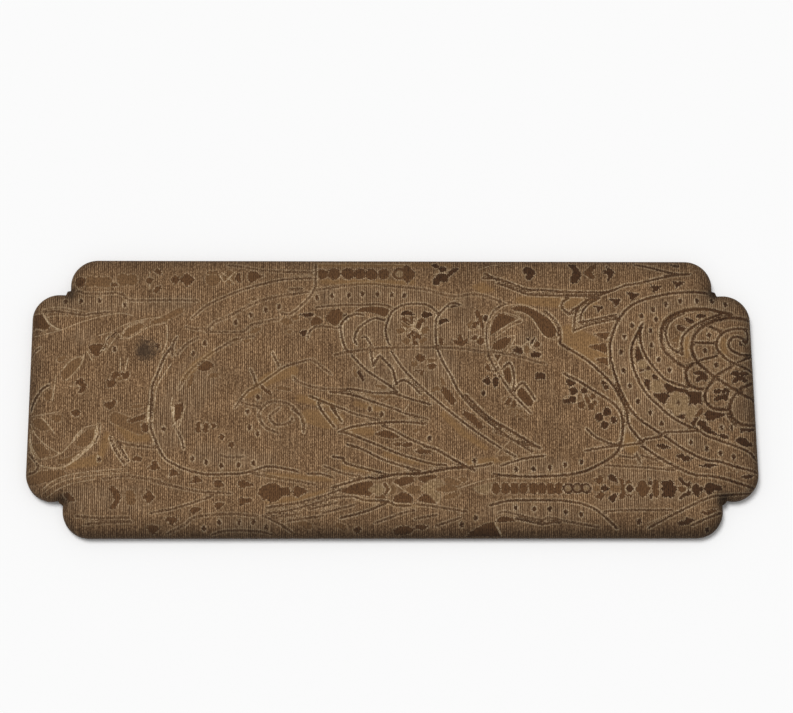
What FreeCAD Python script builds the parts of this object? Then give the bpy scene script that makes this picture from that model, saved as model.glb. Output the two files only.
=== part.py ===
"""Display tray for jewellery: a stepped-corner board, padded with wadding and wrapped in woven cloth.

Frame: +X along the tray, +Y to its back, +Z up, origin at the middle of the face that it rests on.
The pieces lie on each other as on the real tray, from the table upwards: felt, turned-in hem and
card, board, wadding, cloth.  Every piece repeats one stepped outline, set in by a different amount.
"""
import FreeCAD, Part
import math
import os

import Sketcher

doc = FreeCAD.newDocument("display_tray")

# Driving dimensions, in millimetres.

SIZES = (
    ("tray_length", 350.0),     # over the cloth, along X
    ("tray_depth", 140.0),      # over the cloth, along Y
    ("notch_length", 18.0),     # step cut out of each corner, along X
    ("notch_depth", 18.0),      # step cut out of each corner, along Y
    ("corner_radius", 13.0),    # the eight outer corners of the outline, over the cloth
    ("inside_radius", 1.5),     # the four inside corners of the outline, over the cloth
    ("least_flat", 0.5),        # straight run that stays between an outer and an inside corner
    ("board_thick", 3.0),       # greyboard
    ("wadding_thick", 3.0),     # wadding on top of the board
    ("wadding_edge", 0.6),      # wadding pressed thin between the board's edge and the cloth
    ("wadding_stop", 0.8),      # bare strip of the board's edge below the wadding
    ("cloth_thick", 0.5),       # jacquard cover and its corner patches
    ("roll_radius", 3.0),       # soft top edge, outside of the cloth
    ("fold_radius", 0.9),       # fold where the cloth turns under the board, outside of the cloth
    ("hem_width", 12.0),        # cloth turned in under the board
    ("slit_reach", 4.5),        # how far the hem is cut back along each side of an inside corner
    ("slit_mouth", 3.0),        # half width of the slit at the bottom of the cover's side
    ("slit_stop", 0.6),         # top of the slit, below the top of the board
    ("patch_leg", 4.0),         # patch along each side of an inside corner
    ("felt_thick", 0.6),        # lining under the tray
    ("felt_inset", 3.0),        # lining set in from the tray's edge
    ("glue_gap", 0.05),         # between the wadding and the cloth over it
    ("cut_gap", 0.3),           # between sheets that lie side by side
)

sheet = doc.addObject("Spreadsheet::Sheet", "Sizes")
for row, (alias, millimetres) in enumerate(SIZES, start=1):
    sheet.set(f"A{row}", alias)
    sheet.set(f"B{row}", str(millimetres))
    sheet.setAlias(f"B{row}", alias)
doc.recompute()


def size(expression):
    """Puts the sheet's name before each alias in an expression."""
    words = expression
    for alias, _ in sorted(SIZES, key=lambda entry: -len(entry[0])):
        words = words.replace(alias, f"Sizes.{alias}")
    return words


# Levels above the table and steps in from the outside of the cloth, as expressions of the sheet.

HEM_UNDERSIDE = size("felt_thick")
BOARD_UNDERSIDE = size("(felt_thick + cloth_thick)")
BOARD_TOP = size("(felt_thick + cloth_thick + board_thick)")
WADDING_TOP = size("(felt_thick + cloth_thick + board_thick + wadding_thick)")
CLOTH_UNDERSIDE = size("(felt_thick + cloth_thick + board_thick + wadding_thick + glue_gap)")
TRAY_TOP = size("(felt_thick + 2 * cloth_thick + board_thick + wadding_thick + glue_gap)")
BOARD_INSET = size("(cloth_thick + wadding_edge)")
WADDING_INSET = size("(cloth_thick + glue_gap)")

# An outer corner is never rounder than the side of the notch that it runs into allows.
CORNER = size(
    "min(corner_radius; notch_length - inside_radius - least_flat; notch_depth - inside_radius - least_flat)"
)


def value(expression):
    """Works an expression of the sheet out to a number, for the first draft of a sketch."""
    return float(sheet.evalExpression(expression.replace("Sizes.", "")))


def new_sketch(body, name, level):
    """Adds a sketch on the body's XY plane, raised to a level above the table."""
    sketch = body.newObject("Sketcher::SketchObject", name)
    plane = next(part for part in body.Origin.OriginFeatures if part.Role == "XY_Plane")
    sketch.AttachmentSupport = [(plane, "")]
    sketch.MapMode = "FlatFace"
    sketch.setExpression("AttachmentOffset.Base.z", level)
    return sketch


def rounded_path(sketch, sides, rounds):
    """Draws a closed path of level and upright sides, with an arc between the sides where asked.

    sides:  for each side, "x" or "y" and the expression of where it stands.
    rounds: for each side, the expression of the radius at its far end, or None for a sharp corner.
    """
    count = len(sides)
    places = [value(place) for _, place in sides]
    corners = []
    for k in range(count):
        ahead = (k + 1) % count
        pair = {sides[k][0]: places[k], sides[ahead][0]: places[ahead]}
        corners.append(FreeCAD.Vector(pair["x"], pair["y"], 0))
    radii = [value(radius) if radius else 0.0 for radius in rounds]
    runs = []
    for k in range(count):
        step = (corners[k] - corners[k - 1]).normalize()
        runs.append((corners[k - 1] + step * radii[k - 1], corners[k] - step * radii[k], step))

    lines = [sketch.addGeometry(Part.LineSegment(start, end)) for start, end, _ in runs]
    for k in range(count):
        kind, place = sides[k]
        sketch.addConstraint(Sketcher.Constraint("Vertical" if kind == "x" else "Horizontal", lines[k]))
        distance = "DistanceX" if kind == "x" else "DistanceY"
        index = sketch.addConstraint(Sketcher.Constraint(distance, -1, 1, lines[k], 1, places[k]))
        sketch.setExpression(f"Constraints[{index}]", place)

    for k in range(count):
        ahead = (k + 1) % count
        if not rounds[k]:
            sketch.addConstraint(Sketcher.Constraint("Coincident", lines[k], 2, lines[ahead], 1))
            continue
        start, end = runs[k][1], runs[ahead][0]
        centre = corners[k] - runs[k][2] * radii[k] + runs[ahead][2] * radii[k]
        middle = centre + (corners[k] - centre).normalize() * radii[k]
        arc = sketch.addGeometry(Part.Arc(start, middle, end))
        turns_left = runs[k][2].cross(runs[ahead][2]).z > 0
        near, far = (1, 2) if turns_left else (2, 1)
        sketch.addConstraint(Sketcher.Constraint("Tangent", lines[k], 2, arc, near))
        sketch.addConstraint(Sketcher.Constraint("Tangent", arc, far, lines[ahead], 1))
        index = sketch.addConstraint(Sketcher.Constraint("Radius", arc, radii[k]))
        sketch.setExpression(f"Constraints[{index}]", rounds[k])


def stepped_outline(body, name, level, inset, rounded=True):
    """Draws the tray's stepped outline, set in all round, counter-clockwise from the right-hand end."""
    sketch = new_sketch(body, name, level)
    end = f"({size('tray_length')} / 2 - {inset})"
    step = f"({size('tray_length')} / 2 - {size('notch_length')} - {inset})"
    long_side = f"({size('tray_depth')} / 2 - {inset})"
    ledge = f"({size('tray_depth')} / 2 - {size('notch_depth')} - {inset})"
    sides = [
        ("x", end), ("y", ledge), ("x", step), ("y", long_side),
        ("x", f"-{step}"), ("y", ledge), ("x", f"-{end}"), ("y", f"-{ledge}"),
        ("x", f"-{step}"), ("y", f"-{long_side}"), ("x", step), ("y", f"-{ledge}"),
    ]
    outer = f"({CORNER} - {inset})"
    inner = f"({size('inside_radius')} + {inset})"
    rounds = [outer, inner, outer] * 4 if rounded else [None] * 12
    rounded_path(sketch, sides, rounds)
    return sketch


def pad(body, sketch, height):
    """Raises a sketch into a solid."""
    feature = body.newObject("PartDesign::Pad", f"{sketch.Name}_pad")
    feature.Profile = sketch
    feature.setExpression("Length", height)
    doc.recompute()
    return feature


def pocket(body, sketch, height):
    """Cuts a sketch upwards out of the solid, and makes sure that it removed something."""
    before = body.Shape.Volume
    feature = body.newObject("PartDesign::Pocket", f"{sketch.Name}_pocket")
    feature.Profile = sketch
    feature.Reversed = True
    feature.setExpression("Length", height)
    doc.recompute()
    if not body.Shape.Volume < before:
        raise RuntimeError(f"{feature.Name} cuts nothing")
    return feature


def round_rim(body, feature, level, radius):
    """Rounds every edge of a solid that lies at a level."""
    height = value(level)
    rim = [
        f"Edge{number}"
        for number, edge in enumerate(feature.Shape.Edges, start=1)
        if edge.BoundBox.ZLength < 1e-6 and math.isclose(edge.BoundBox.ZMin, height, abs_tol=1e-6)
    ]
    fillet = body.newObject("PartDesign::Fillet", f"{feature.Name}_rim_{len(body.Group)}")
    fillet.Base = (feature, rim)
    fillet.setExpression("Radius", radius)
    doc.recompute()
    return fillet


def new_body(name, label=None):
    """Adds an empty body."""
    body = doc.addObject("PartDesign::Body", name)
    body.Label = label or name
    return body


def make_base_felt():
    """Felt sheet glued over the underside: it hides the hem and is what the tray rests on."""
    body = new_body("base_felt")
    outline = stepped_outline(body, "felt_outline", "0", size("felt_inset"))
    pad(body, outline, size("felt_thick"))
    return body


def make_back_card():
    """Card inside the ring of hem, as thick as the cloth, so that the felt lies flat."""
    body = new_body("back_card")
    outline = stepped_outline(body, "card_outline", HEM_UNDERSIDE, size("(hem_width + cut_gap)"), rounded=False)
    pad(body, outline, size("cloth_thick"))
    return body


def make_core_board():
    """Stiff board cut to the stepped outline: it keeps the tray flat and takes the hem's glue."""
    body = new_body("core_board")
    outline = stepped_outline(body, "board_outline", BOARD_UNDERSIDE, BOARD_INSET)
    pad(body, outline, size("board_thick"))
    return body


def make_wadding_pad():
    """Wadding over the board, drawn thin down its edge and cut away round the corner patches."""
    body = new_body("wadding_pad")
    bottom = f"({BOARD_UNDERSIDE} + {size('wadding_stop')})"
    block = pad(
        body,
        stepped_outline(body, "wadding_outline", bottom, WADDING_INSET),
        f"{WADDING_TOP} - {bottom}",
    )
    round_rim(body, block, WADDING_TOP, size("roll_radius - cloth_thick - glue_gap"))
    pocket(
        body,
        stepped_outline(body, "board_space", bottom, BOARD_INSET),
        f"{BOARD_TOP} - {bottom}",
    )
    reach = size("(patch_leg + cut_gap)")
    for across, along in ((1, 1), (-1, 1), (-1, -1), (1, -1)):
        sketch = new_sketch(body, f"patch_space_{across + 1}{along + 1}", bottom)
        corner_x = f"({size('tray_length')} / 2 - {size('notch_length')})"
        corner_y = f"({size('tray_depth')} / 2 - {size('notch_depth')})"
        sides = [
            ("x", f"{across} * ({corner_x} + {reach})"),
            ("y", f"{along} * ({corner_y} + {reach})"),
            ("x", f"{across} * ({corner_x} - {reach})"),
            ("y", f"{along} * ({corner_y} - {reach})"),
        ]
        rounded_path(sketch, sides, [None] * 4)
        pocket(body, sketch, f"{BOARD_TOP} - {bottom}")
    return body


def make_cover_cloth():
    """Jacquard cover: top, rolled edge, sides and turned-in hem, slit at each inside corner.

    The outside form less the space inside it is one continuous skin.  Cloth can't turn an inside
    corner whole, so there a slit opens up the side and the hem's flaps part on the underside.
    """
    outside = new_body("cover_outside")
    block = pad(
        outside,
        stepped_outline(outside, "cover_outline", HEM_UNDERSIDE, "0"),
        f"{TRAY_TOP} - {HEM_UNDERSIDE}",
    )
    rolled = round_rim(outside, block, TRAY_TOP, size("roll_radius"))
    round_rim(outside, rolled, HEM_UNDERSIDE, size("fold_radius"))

    inside = new_body("cover_inside")
    space = pad(
        inside,
        stepped_outline(inside, "inside_outline", BOARD_UNDERSIDE, size("cloth_thick")),
        f"{CLOTH_UNDERSIDE} - {BOARD_UNDERSIDE}",
    )
    rolled = round_rim(inside, space, CLOTH_UNDERSIDE, size("roll_radius - cloth_thick"))
    round_rim(inside, rolled, BOARD_UNDERSIDE, size("fold_radius - cloth_thick"))

    opening = new_body("hem_opening")
    pad(
        opening,
        stepped_outline(opening, "hem_outline", HEM_UNDERSIDE, size("hem_width"), rounded=False),
        size("cloth_thick"),
    )

    cuts = [inside, opening]
    for name, across, along in INSIDE_CORNERS:
        corner_x = f"{across} * ({size('tray_length')} / 2 - {size('notch_length')})"
        corner_y = f"{along} * ({size('tray_depth')} / 2 - {size('notch_depth')})"
        slit = doc.addObject("Part::Cone", f"slit_{name}")
        slit.Radius2 = 0
        slit.setExpression("Radius1", size("slit_mouth"))
        slit.setExpression("Height", f"{BOARD_TOP} - {size('slit_stop')} - {HEM_UNDERSIDE}")
        slit.setExpression("Placement.Base.x", corner_x)
        slit.setExpression("Placement.Base.y", corner_y)
        slit.setExpression("Placement.Base.z", HEM_UNDERSIDE)
        gap = doc.addObject("Part::Box", f"hem_gap_{name}")
        for side in ("Length", "Width"):
            gap.setExpression(side, size("hem_width + slit_reach"))
        gap.setExpression("Height", size("fold_radius"))
        inward = size("(hem_width + slit_reach) / 2 - slit_reach")
        gap.setExpression(
            "Placement.Base.x", f"{corner_x} - {across} * ({inward}) - {size('(hem_width + slit_reach) / 2')}"
        )
        gap.setExpression(
            "Placement.Base.y", f"{corner_y} - {along} * ({inward}) - {size('(hem_width + slit_reach) / 2')}"
        )
        gap.setExpression("Placement.Base.z", HEM_UNDERSIDE)
        cuts += [slit, gap]

    away = doc.addObject("Part::MultiFuse", "cover_space")
    away.Shapes = cuts
    cover = doc.addObject("Part::Cut", "cover_cloth")
    cover.Base = outside
    cover.Tool = away
    cover.Label = "cover_cloth"
    doc.recompute()
    return cover


def make_corner_patch(name, across, along):
    """Cloth patch glued round one inside corner of the board, below the slit in the cover.

    It is drawn about the centre of the corner's rounding, for the back right-hand corner, and
    turned to its own corner; its two legs are alike, so a turn is enough.
    """
    body = new_body(f"corner_patch_{name}")
    ahead = size("(patch_leg - inside_radius)")
    board_face = size("(inside_radius + cloth_thick + wadding_edge)")
    cloth_face = f"({board_face} - {size('cloth_thick')})"
    hem_edge = size("(inside_radius + hem_width)")

    side_sketch = new_sketch(body, f"patch_side_{name}", HEM_UNDERSIDE)
    rounded_path(
        side_sketch,
        [
            ("y", f"-{board_face}"), ("x", ahead), ("y", f"-{cloth_face}"),
            ("x", f"-{cloth_face}"), ("y", ahead), ("x", f"-{board_face}"),
        ],
        [None, None, cloth_face, None, None, board_face],
    )
    pad(body, side_sketch, f"{BOARD_TOP} - {HEM_UNDERSIDE}")

    tab_sketch = new_sketch(body, f"patch_tab_{name}", HEM_UNDERSIDE)
    rounded_path(
        tab_sketch,
        [
            ("y", f"-{hem_edge}"), ("x", ahead), ("y", f"-{cloth_face}"),
            ("x", f"-{cloth_face}"), ("y", ahead), ("x", f"-{hem_edge}"),
        ],
        [None, None, cloth_face, None, None, None],
    )
    pad(body, tab_sketch, size("cloth_thick"))

    turn = math.degrees(math.atan2(along, across)) - 45
    body.Placement = FreeCAD.Placement(FreeCAD.Vector(), FreeCAD.Rotation(FreeCAD.Vector(0, 0, 1), turn))
    centre_x = size("(tray_length / 2 - notch_length + inside_radius)")
    centre_y = size("(tray_depth / 2 - notch_depth + inside_radius)")
    body.setExpression("Placement.Base.x", f"{across} * {centre_x}")
    body.setExpression("Placement.Base.y", f"{along} * {centre_y}")
    doc.recompute()
    return body


INSIDE_CORNERS = (
    ("back_right", 1, 1),
    ("back_left", -1, 1),
    ("front_left", -1, -1),
    ("front_right", 1, -1),
)

pieces = [make_base_felt(), make_back_card(), make_core_board(), make_wadding_pad(), make_cover_cloth()]
for corner in INSIDE_CORNERS:
    pieces.append(make_corner_patch(*corner))
doc.recompute()

for item in doc.Objects:
    if "Invalid" in item.State or "Error" in item.State:
        raise RuntimeError(f"{item.Name} failed: {item.State}")
for piece in pieces:
    if piece.Shape.isNull() or not piece.Shape.isValid() or len(piece.Shape.Solids) != 1:
        raise RuntimeError(f"{piece.Label} is not one valid solid")

os.makedirs("parts", exist_ok=True)
for piece in pieces:
    piece.Shape.exportStep(f"parts/{piece.Label}.step")
    box = piece.Shape.optimalBoundingBox()
    print(
        f"{piece.Label}: {piece.Shape.Volume:.1f} mm3, "
        f"{box.XLength:.2f} x {box.YLength:.2f} x {box.ZLength:.2f} mm from z = {box.ZMin:.2f}"
    )
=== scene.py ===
"""Jewelry tray: a stiff stepped-corner board, padded and covered in a worn brown paisley jacquard."""

import bmesh
import bpy
import numpy as np
from mathutils import Matrix, Vector


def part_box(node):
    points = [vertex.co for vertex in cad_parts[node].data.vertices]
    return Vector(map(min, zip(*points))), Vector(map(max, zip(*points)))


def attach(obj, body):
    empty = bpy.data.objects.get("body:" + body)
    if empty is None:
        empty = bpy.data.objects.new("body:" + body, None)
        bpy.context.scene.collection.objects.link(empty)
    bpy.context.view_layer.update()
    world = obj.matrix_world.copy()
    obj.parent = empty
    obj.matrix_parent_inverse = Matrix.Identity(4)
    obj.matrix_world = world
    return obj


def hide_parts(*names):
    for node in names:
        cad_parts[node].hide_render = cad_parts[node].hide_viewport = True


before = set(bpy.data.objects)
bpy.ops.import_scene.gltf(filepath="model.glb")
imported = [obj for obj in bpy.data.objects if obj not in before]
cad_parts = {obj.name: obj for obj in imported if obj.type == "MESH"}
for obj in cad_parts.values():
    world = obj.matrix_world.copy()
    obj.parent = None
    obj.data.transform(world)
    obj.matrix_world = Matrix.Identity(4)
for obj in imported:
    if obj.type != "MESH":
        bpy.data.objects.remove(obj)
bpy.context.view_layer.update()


# Core board: the stiff sheet that carries the rest, 3 mm greyboard knife-cut to the stepped outline.
# Greyboard is pressed from waste paper, so it is matt and warm grey with scattered darker fibres.
# It is the solid of the frame with its own finish.
MM = 0.001


def linear(code):
    """An sRGB hex colour as linear RGBA: c / 12.92 up to 0.04045, else ((c + 0.055) / 1.055) ** 2.4."""
    c = np.array([int(code[i:i + 2], 16) for i in (1, 3, 5)]) / 255
    return (*np.where(c <= 0.04045, c / 12.92, ((c + 0.055) / 1.055) ** 2.4), 1.0)


def add(tree, kind, inputs=None, **settings):
    """Adds a node, sets its properties, and sets or links its inputs by name or place; gives its outputs."""
    node = tree.nodes.new(kind)
    for name, value in settings.items():
        setattr(node, name, value)
    for key, value in (inputs or {}).items():
        if isinstance(value, bpy.types.NodeSocket):
            tree.links.new(value, node.inputs[key])
        else:
            node.inputs[key].default_value = value
    return node.outputs


def ramp(tree, factor, stops):
    """A colour that runs through the (place, hex) stops as the factor rises."""
    outputs = add(tree, "ShaderNodeValToRGB", {"Fac": factor})
    elements = tree.nodes[-1].color_ramp.elements
    elements[0].position, elements[1].position = stops[0][0], stops[-1][0]
    for place, _ in stops[1:-1]:
        elements.new(place)
    for element, (_, code) in zip(elements, stops):
        element.color = linear(code)
    return outputs["Color"]


def fibre_material(name, fibre, stops, roughness, relief, sheen=0.0):
    """Matted fibre (board, wadding, card, felt): colour and bump from one noise of the fibre's size in mm."""
    material = bpy.data.materials.new(name)
    material.use_nodes = True
    tree = material.node_tree
    place = add(tree, "ShaderNodeTexCoord")["Object"]
    stretched = add(
        tree, "ShaderNodeMapping", {"Vector": place, "Rotation": (0, 0, 0.6), "Scale": (1, 0.35, 1)}
    )["Vector"]
    fibres = add(
        tree, "ShaderNodeTexNoise",
        {"Vector": stretched, "Scale": 1 / (fibre * MM), "Detail": 4, "Roughness": 0.65, "Distortion": 0.6},
    )["Fac"]
    shader = tree.nodes["Principled BSDF"]
    shader.inputs["Roughness"].default_value = roughness
    shader.inputs["Sheen Weight"].default_value = sheen
    tree.links.new(ramp(tree, fibres, stops), shader.inputs["Base Color"])
    bump = add(tree, "ShaderNodeBump", {"Height": fibres, "Distance": relief * MM})["Normal"]
    tree.links.new(bump, shader.inputs["Normal"])
    return material


greyboard = fibre_material(
    "greyboard_pressed", 0.9,
    ((0.3, "#655c51"), (0.5, "#857b6e"), (0.7, "#9b9183")), roughness=0.9, relief=0.05,
)
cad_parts["core_board"].material_slots[0].material = greyboard


# Wadding: a 3 mm layer of carded polyester laid over the board and drawn down over its edge.
# It is what rounds the top edge of the tray. Polyester wadding is off-white, matt and fibrous.
half_length, half_depth, cover_top = (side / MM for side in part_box("cover_cloth")[1])
NOTCH = 18
CORNER_RADIUS = 13
INSIDE_RADIUS = 1.5
# half the length of the line down the middle that a ring is drawn in to
SPINE = 105
EDGE_CENTRES = (
    (half_length - CORNER_RADIUS, half_depth - NOTCH - CORNER_RADIUS),
    (half_length - NOTCH + INSIDE_RADIUS, half_depth - NOTCH + INSIDE_RADIUS),
    (half_length - NOTCH - CORNER_RADIUS, half_depth - CORNER_RADIUS),
)


def stepped_ring(inset, inward=0.0):
    """The stepped outline set in by inset mm, anticlockwise: in each quarter an outer arc, the inside
    corner's arc and an outer arc, with straight runs between; inward draws each point towards the spine.
    """
    sweeps = (
        (CORNER_RADIUS - inset, np.linspace(0, 90, 14)),
        (INSIDE_RADIUS + inset, np.linspace(270, 180, 7)),
        (CORNER_RADIUS - inset, np.linspace(0, 90, 14)),
    )
    arcs = [
        np.array(centre) + radius * np.stack([np.cos(np.radians(turn)), np.sin(np.radians(turn))], 1)
        for centre, (radius, turn) in zip(EDGE_CENTRES, sweeps)
    ]
    end = np.stack([np.full(8, half_length - inset), np.linspace(0, EDGE_CENTRES[0][1], 8)], 1)[:-1]
    side = np.stack([np.linspace(EDGE_CENTRES[2][0], 0, 30), np.full(30, half_depth - inset)], 1)[1:]
    quarter = np.concatenate([end, *arcs, side])
    half = np.concatenate([quarter, quarter[-2::-1] * (-1, 1)])
    ring = np.concatenate([half, half[-2:0:-1] * (1, -1)])
    spine = np.stack([np.clip(ring[:, 0], -SPINE, SPINE), np.zeros(len(ring))], 1)
    return ring + (spine - ring) * inward


def ring_loft(levels):
    """Rings of the stepped outline, one for each (inset, inward, z), with quads between each and the next."""
    rings = np.stack([
        np.column_stack([stepped_ring(inset, inward), np.full(len(stepped_ring(0)), z)])
        for inset, inward, z in levels
    ])
    count = rings.shape[1]
    here = np.arange(count)
    after = np.roll(here, -1)
    quads = [np.stack([k + here, k + after, k + count + after, k + count + here], 1)
             for k in count * np.arange(len(levels) - 1)]
    return rings.reshape(-1, 3), np.concatenate(quads)


def mesh_piece(name, points, faces, material, slot):
    """A smooth mesh object from points in mm, with coincident points merged, riding on the one body."""
    mesh = bpy.data.meshes.new(name)
    mesh.from_pydata((points * MM).tolist(), [], faces.tolist())
    shell = bmesh.new()
    shell.from_mesh(mesh)
    bmesh.ops.remove_doubles(shell, verts=shell.verts, dist=1e-6)
    bmesh.ops.recalc_face_normals(shell, faces=shell.faces)
    shell.to_mesh(mesh)
    shell.free()
    mesh.polygons.foreach_set("use_smooth", np.ones(len(mesh.polygons), bool))
    mesh.materials.append(material)
    piece = bpy.data.objects.new(name, mesh)
    bpy.context.scene.collection.objects.link(piece)
    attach(piece, "root")
    return piece


CROWN_REACH = 9.5
CROWN_FALL = (1.1, 2.1)


def crown_fall(inset, y):
    """How far the padding has fallen inset mm from the edge: A (1 - inset / reach)^2, where A grows from
    the back and the ends to the front, whose edge is the softest.
    """
    fall = np.interp(y, (-half_depth, -half_depth + 30), CROWN_FALL[::-1])
    return fall * np.clip(1 - inset / CROWN_REACH, 0, 1) ** 2


WADDING_TOP = 6.8
WADDING_SKIRT = 2.0
WADDING_INSET = 0.75
WADDING_ROUND_IN = 3.2
WADDING_ROUND_DOWN = 3.0
LUMP_HEIGHT = 0.12
# the inset of the last ring with the outline's own shape; rings further in are drawn to the spine
INNER_RING = 12
board_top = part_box("core_board")[1][2] / MM
wadding_levels = [(INNER_RING, inward, WADDING_TOP) for inward in np.linspace(1, 0, 25)]
wadding_levels += [(inset, 0, WADDING_TOP) for inset in (10, 8.5, 7, 5.5, 4.2)]
wadding_levels += [
    (
        WADDING_INSET + WADDING_ROUND_IN * (1 - np.sin(turn)), 0,
        WADDING_TOP - WADDING_ROUND_DOWN * (1 - np.cos(turn)),
    )
    for turn in np.linspace(0.25, np.pi / 2, 8)
]
wadding_levels += [(WADDING_INSET, 0, 2.6), (0.85, 0, WADDING_SKIRT), (1.05, 0, WADDING_SKIRT)]
wadding_levels += [(inset, 0, board_top) for inset in (1.1, 6)]
wadding_levels += [(INNER_RING, inward, board_top) for inward in (0, 0.5, 1)]
wadding_points, wadding_faces = ring_loft(wadding_levels)
wx, wy, wz = wadding_points.T
insets = np.repeat([inset for inset, _, _ in wadding_levels], len(stepped_ring(0)))
lumps = LUMP_HEIGHT * np.sin(wx / 5.1 + 1.7 * np.sin(wy / 7.3)) * np.sin(wy / 4.3 + wx / 17)
swell = np.clip((wz - board_top) / (WADDING_TOP - board_top), 0, 1)
wadding_points[:, 2] += (lumps - crown_fall(insets, wy)) * swell
wadding_fibre = fibre_material(
    "wadding_carded_polyester", 0.7,
    ((0.3, "#cfcac0"), (0.5, "#e2ded6"), (0.7, "#f1eee8")), roughness=0.95, relief=0.3, sheen=0.3,
)
wadding = mesh_piece("wadding", wadding_points, wadding_faces, wadding_fibre, "wadding")
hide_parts("wadding_pad")


# Corner patches: an offcut of the cover cloth glued round each inside corner of the board and turned
# in under it, so that the bare board doesn't show where the cover has to be slit.
# Each is a strip that follows the corner, with a tab that fans out under the board.
PATCH_LEG = 2.5
PATCH_FACE = INSIDE_RADIUS + 0.6
PATCH_FOLD = 0.45
PATCH_REACH = 12.6
PATCH_LEVEL = 0.75
PATCH_TOP_GAP = 0.1
PATCH_THICKNESS = 0.4
PATCH_CORNERS = {"back_right": (1, 1), "back_left": (-1, 1), "front_left": (-1, -1), "front_right": (1, -1)}


def patch_surface(across, along):
    """A profile (distance from the corner's centre, z) that falls, folds and runs in under the board,
    carried along a path of leg, quarter turn and leg about that centre.
    """
    turn = np.linspace(0, np.pi / 2, 6)
    falling = np.linspace(board_top - PATCH_TOP_GAP, PATCH_LEVEL + PATCH_FOLD, 6)
    tab = np.linspace(PATCH_FACE + PATCH_FOLD, PATCH_REACH, 8)
    reach = np.concatenate([np.full(6, PATCH_FACE), PATCH_FACE + PATCH_FOLD * (1 - np.cos(turn)), tab[1:]])
    turning = PATCH_LEVEL + PATCH_FOLD * (1 - np.sin(turn))
    height = np.concatenate([falling, turning, np.full(7, PATCH_LEVEL)])
    leg = np.linspace(PATCH_LEG, 0, 5)[:-1]
    bend = np.linspace(np.pi, 1.5 * np.pi, 13)
    path = np.concatenate([
        np.stack([-np.ones(4), np.zeros(4), np.zeros(4), leg], 1),
        np.stack([np.cos(bend), np.sin(bend), np.zeros(13), np.zeros(13)], 1),
        np.stack([np.zeros(4), -np.ones(4), leg[::-1], np.zeros(4)], 1),
    ])
    x = EDGE_CENTRES[1][0] + path[:, None, 0] * reach + path[:, None, 2]
    y = EDGE_CENTRES[1][1] + path[:, None, 1] * reach + path[:, None, 3]
    z = np.broadcast_to(height, x.shape)
    index = np.arange(x.size).reshape(x.shape)
    quads = np.stack([index[:-1, :-1], index[1:, :-1], index[1:, 1:], index[:-1, 1:]], -1).reshape(-1, 4)
    return np.stack([across * x, along * y, z], -1).reshape(-1, 3), quads


# the offcut's colours are painted darker than the cover's, as painted shade in the inside corners where the
# slit shows it
patch_cloth = fibre_material(
    "jacquard_offcut", 0.5,
    ((0.3, "#38261a"), (0.5, "#4f3927"), (0.7, "#674e38")), roughness=0.85, relief=0.08, sheen=0.1,
)
for corner, (across, along) in PATCH_CORNERS.items():
    patch = mesh_piece(f"patch_{corner}", *patch_surface(across, along), patch_cloth, "jacquard")
    thickness = patch.modifiers.new("cloth thickness", "SOLIDIFY")
    thickness.thickness = PATCH_THICKNESS * MM
    thickness.offset = 0
    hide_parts(f"corner_patch_{corner}")


# Cover cloth: one piece of figured jacquard drawn over the wadding, round the edge and in under the
# board, where its hem is glued. It is slit at the four inside corners and parts there as it turns down.
# The weave is brown on brown: a ribbed ground, smooth satin leaves, and grooved outlines of paisleys.
ROLL = 3.0
FOLD = 0.9
HEM = 11.1
hem_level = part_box("cover_cloth")[0][2] / MM
wall = cover_top - hem_level - ROLL - FOLD
roll_end = np.pi / 2 * ROLL
wall_end = roll_end + wall
fold_end = wall_end + np.pi / 2 * FOLD
cloth_end = fold_end + HEM
flat_half = np.array([half_length, half_depth]) - ROLL + cloth_end

# Threads lie closer than the mesh, so the grid is about 0.8 mm where the cloth shows and 1.8 mm in the hem.
# Its lines pass through the centres of the inside corners, so that each slit runs along whole diagonals.
PITCH = 0.8
MIDDLE_PITCH = 0.781
FINE_STEPS = 29
HEM_STEPS = 6
TINY = 1e-6


def cloth_lines(middle, end):
    """Places of the grid lines on one axis: even between the corner centres, then PITCH, then the hem."""
    inner = np.linspace(-middle, middle, round(2 * middle / MIDDLE_PITCH) + 1)
    fine = middle + PITCH * np.arange(1, FINE_STEPS + 1)
    hem = np.linspace(fine[-1], end, HEM_STEPS + 1)[1:]
    outer = np.concatenate([fine, hem])
    return np.concatenate([-outer[::-1], inner, outer])


us = cloth_lines(EDGE_CENTRES[1][0], flat_half[0])
vs = cloth_lines(EDGE_CENTRES[1][1], flat_half[1])
U, V = np.meshgrid(us, vs, indexing="ij")


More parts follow.
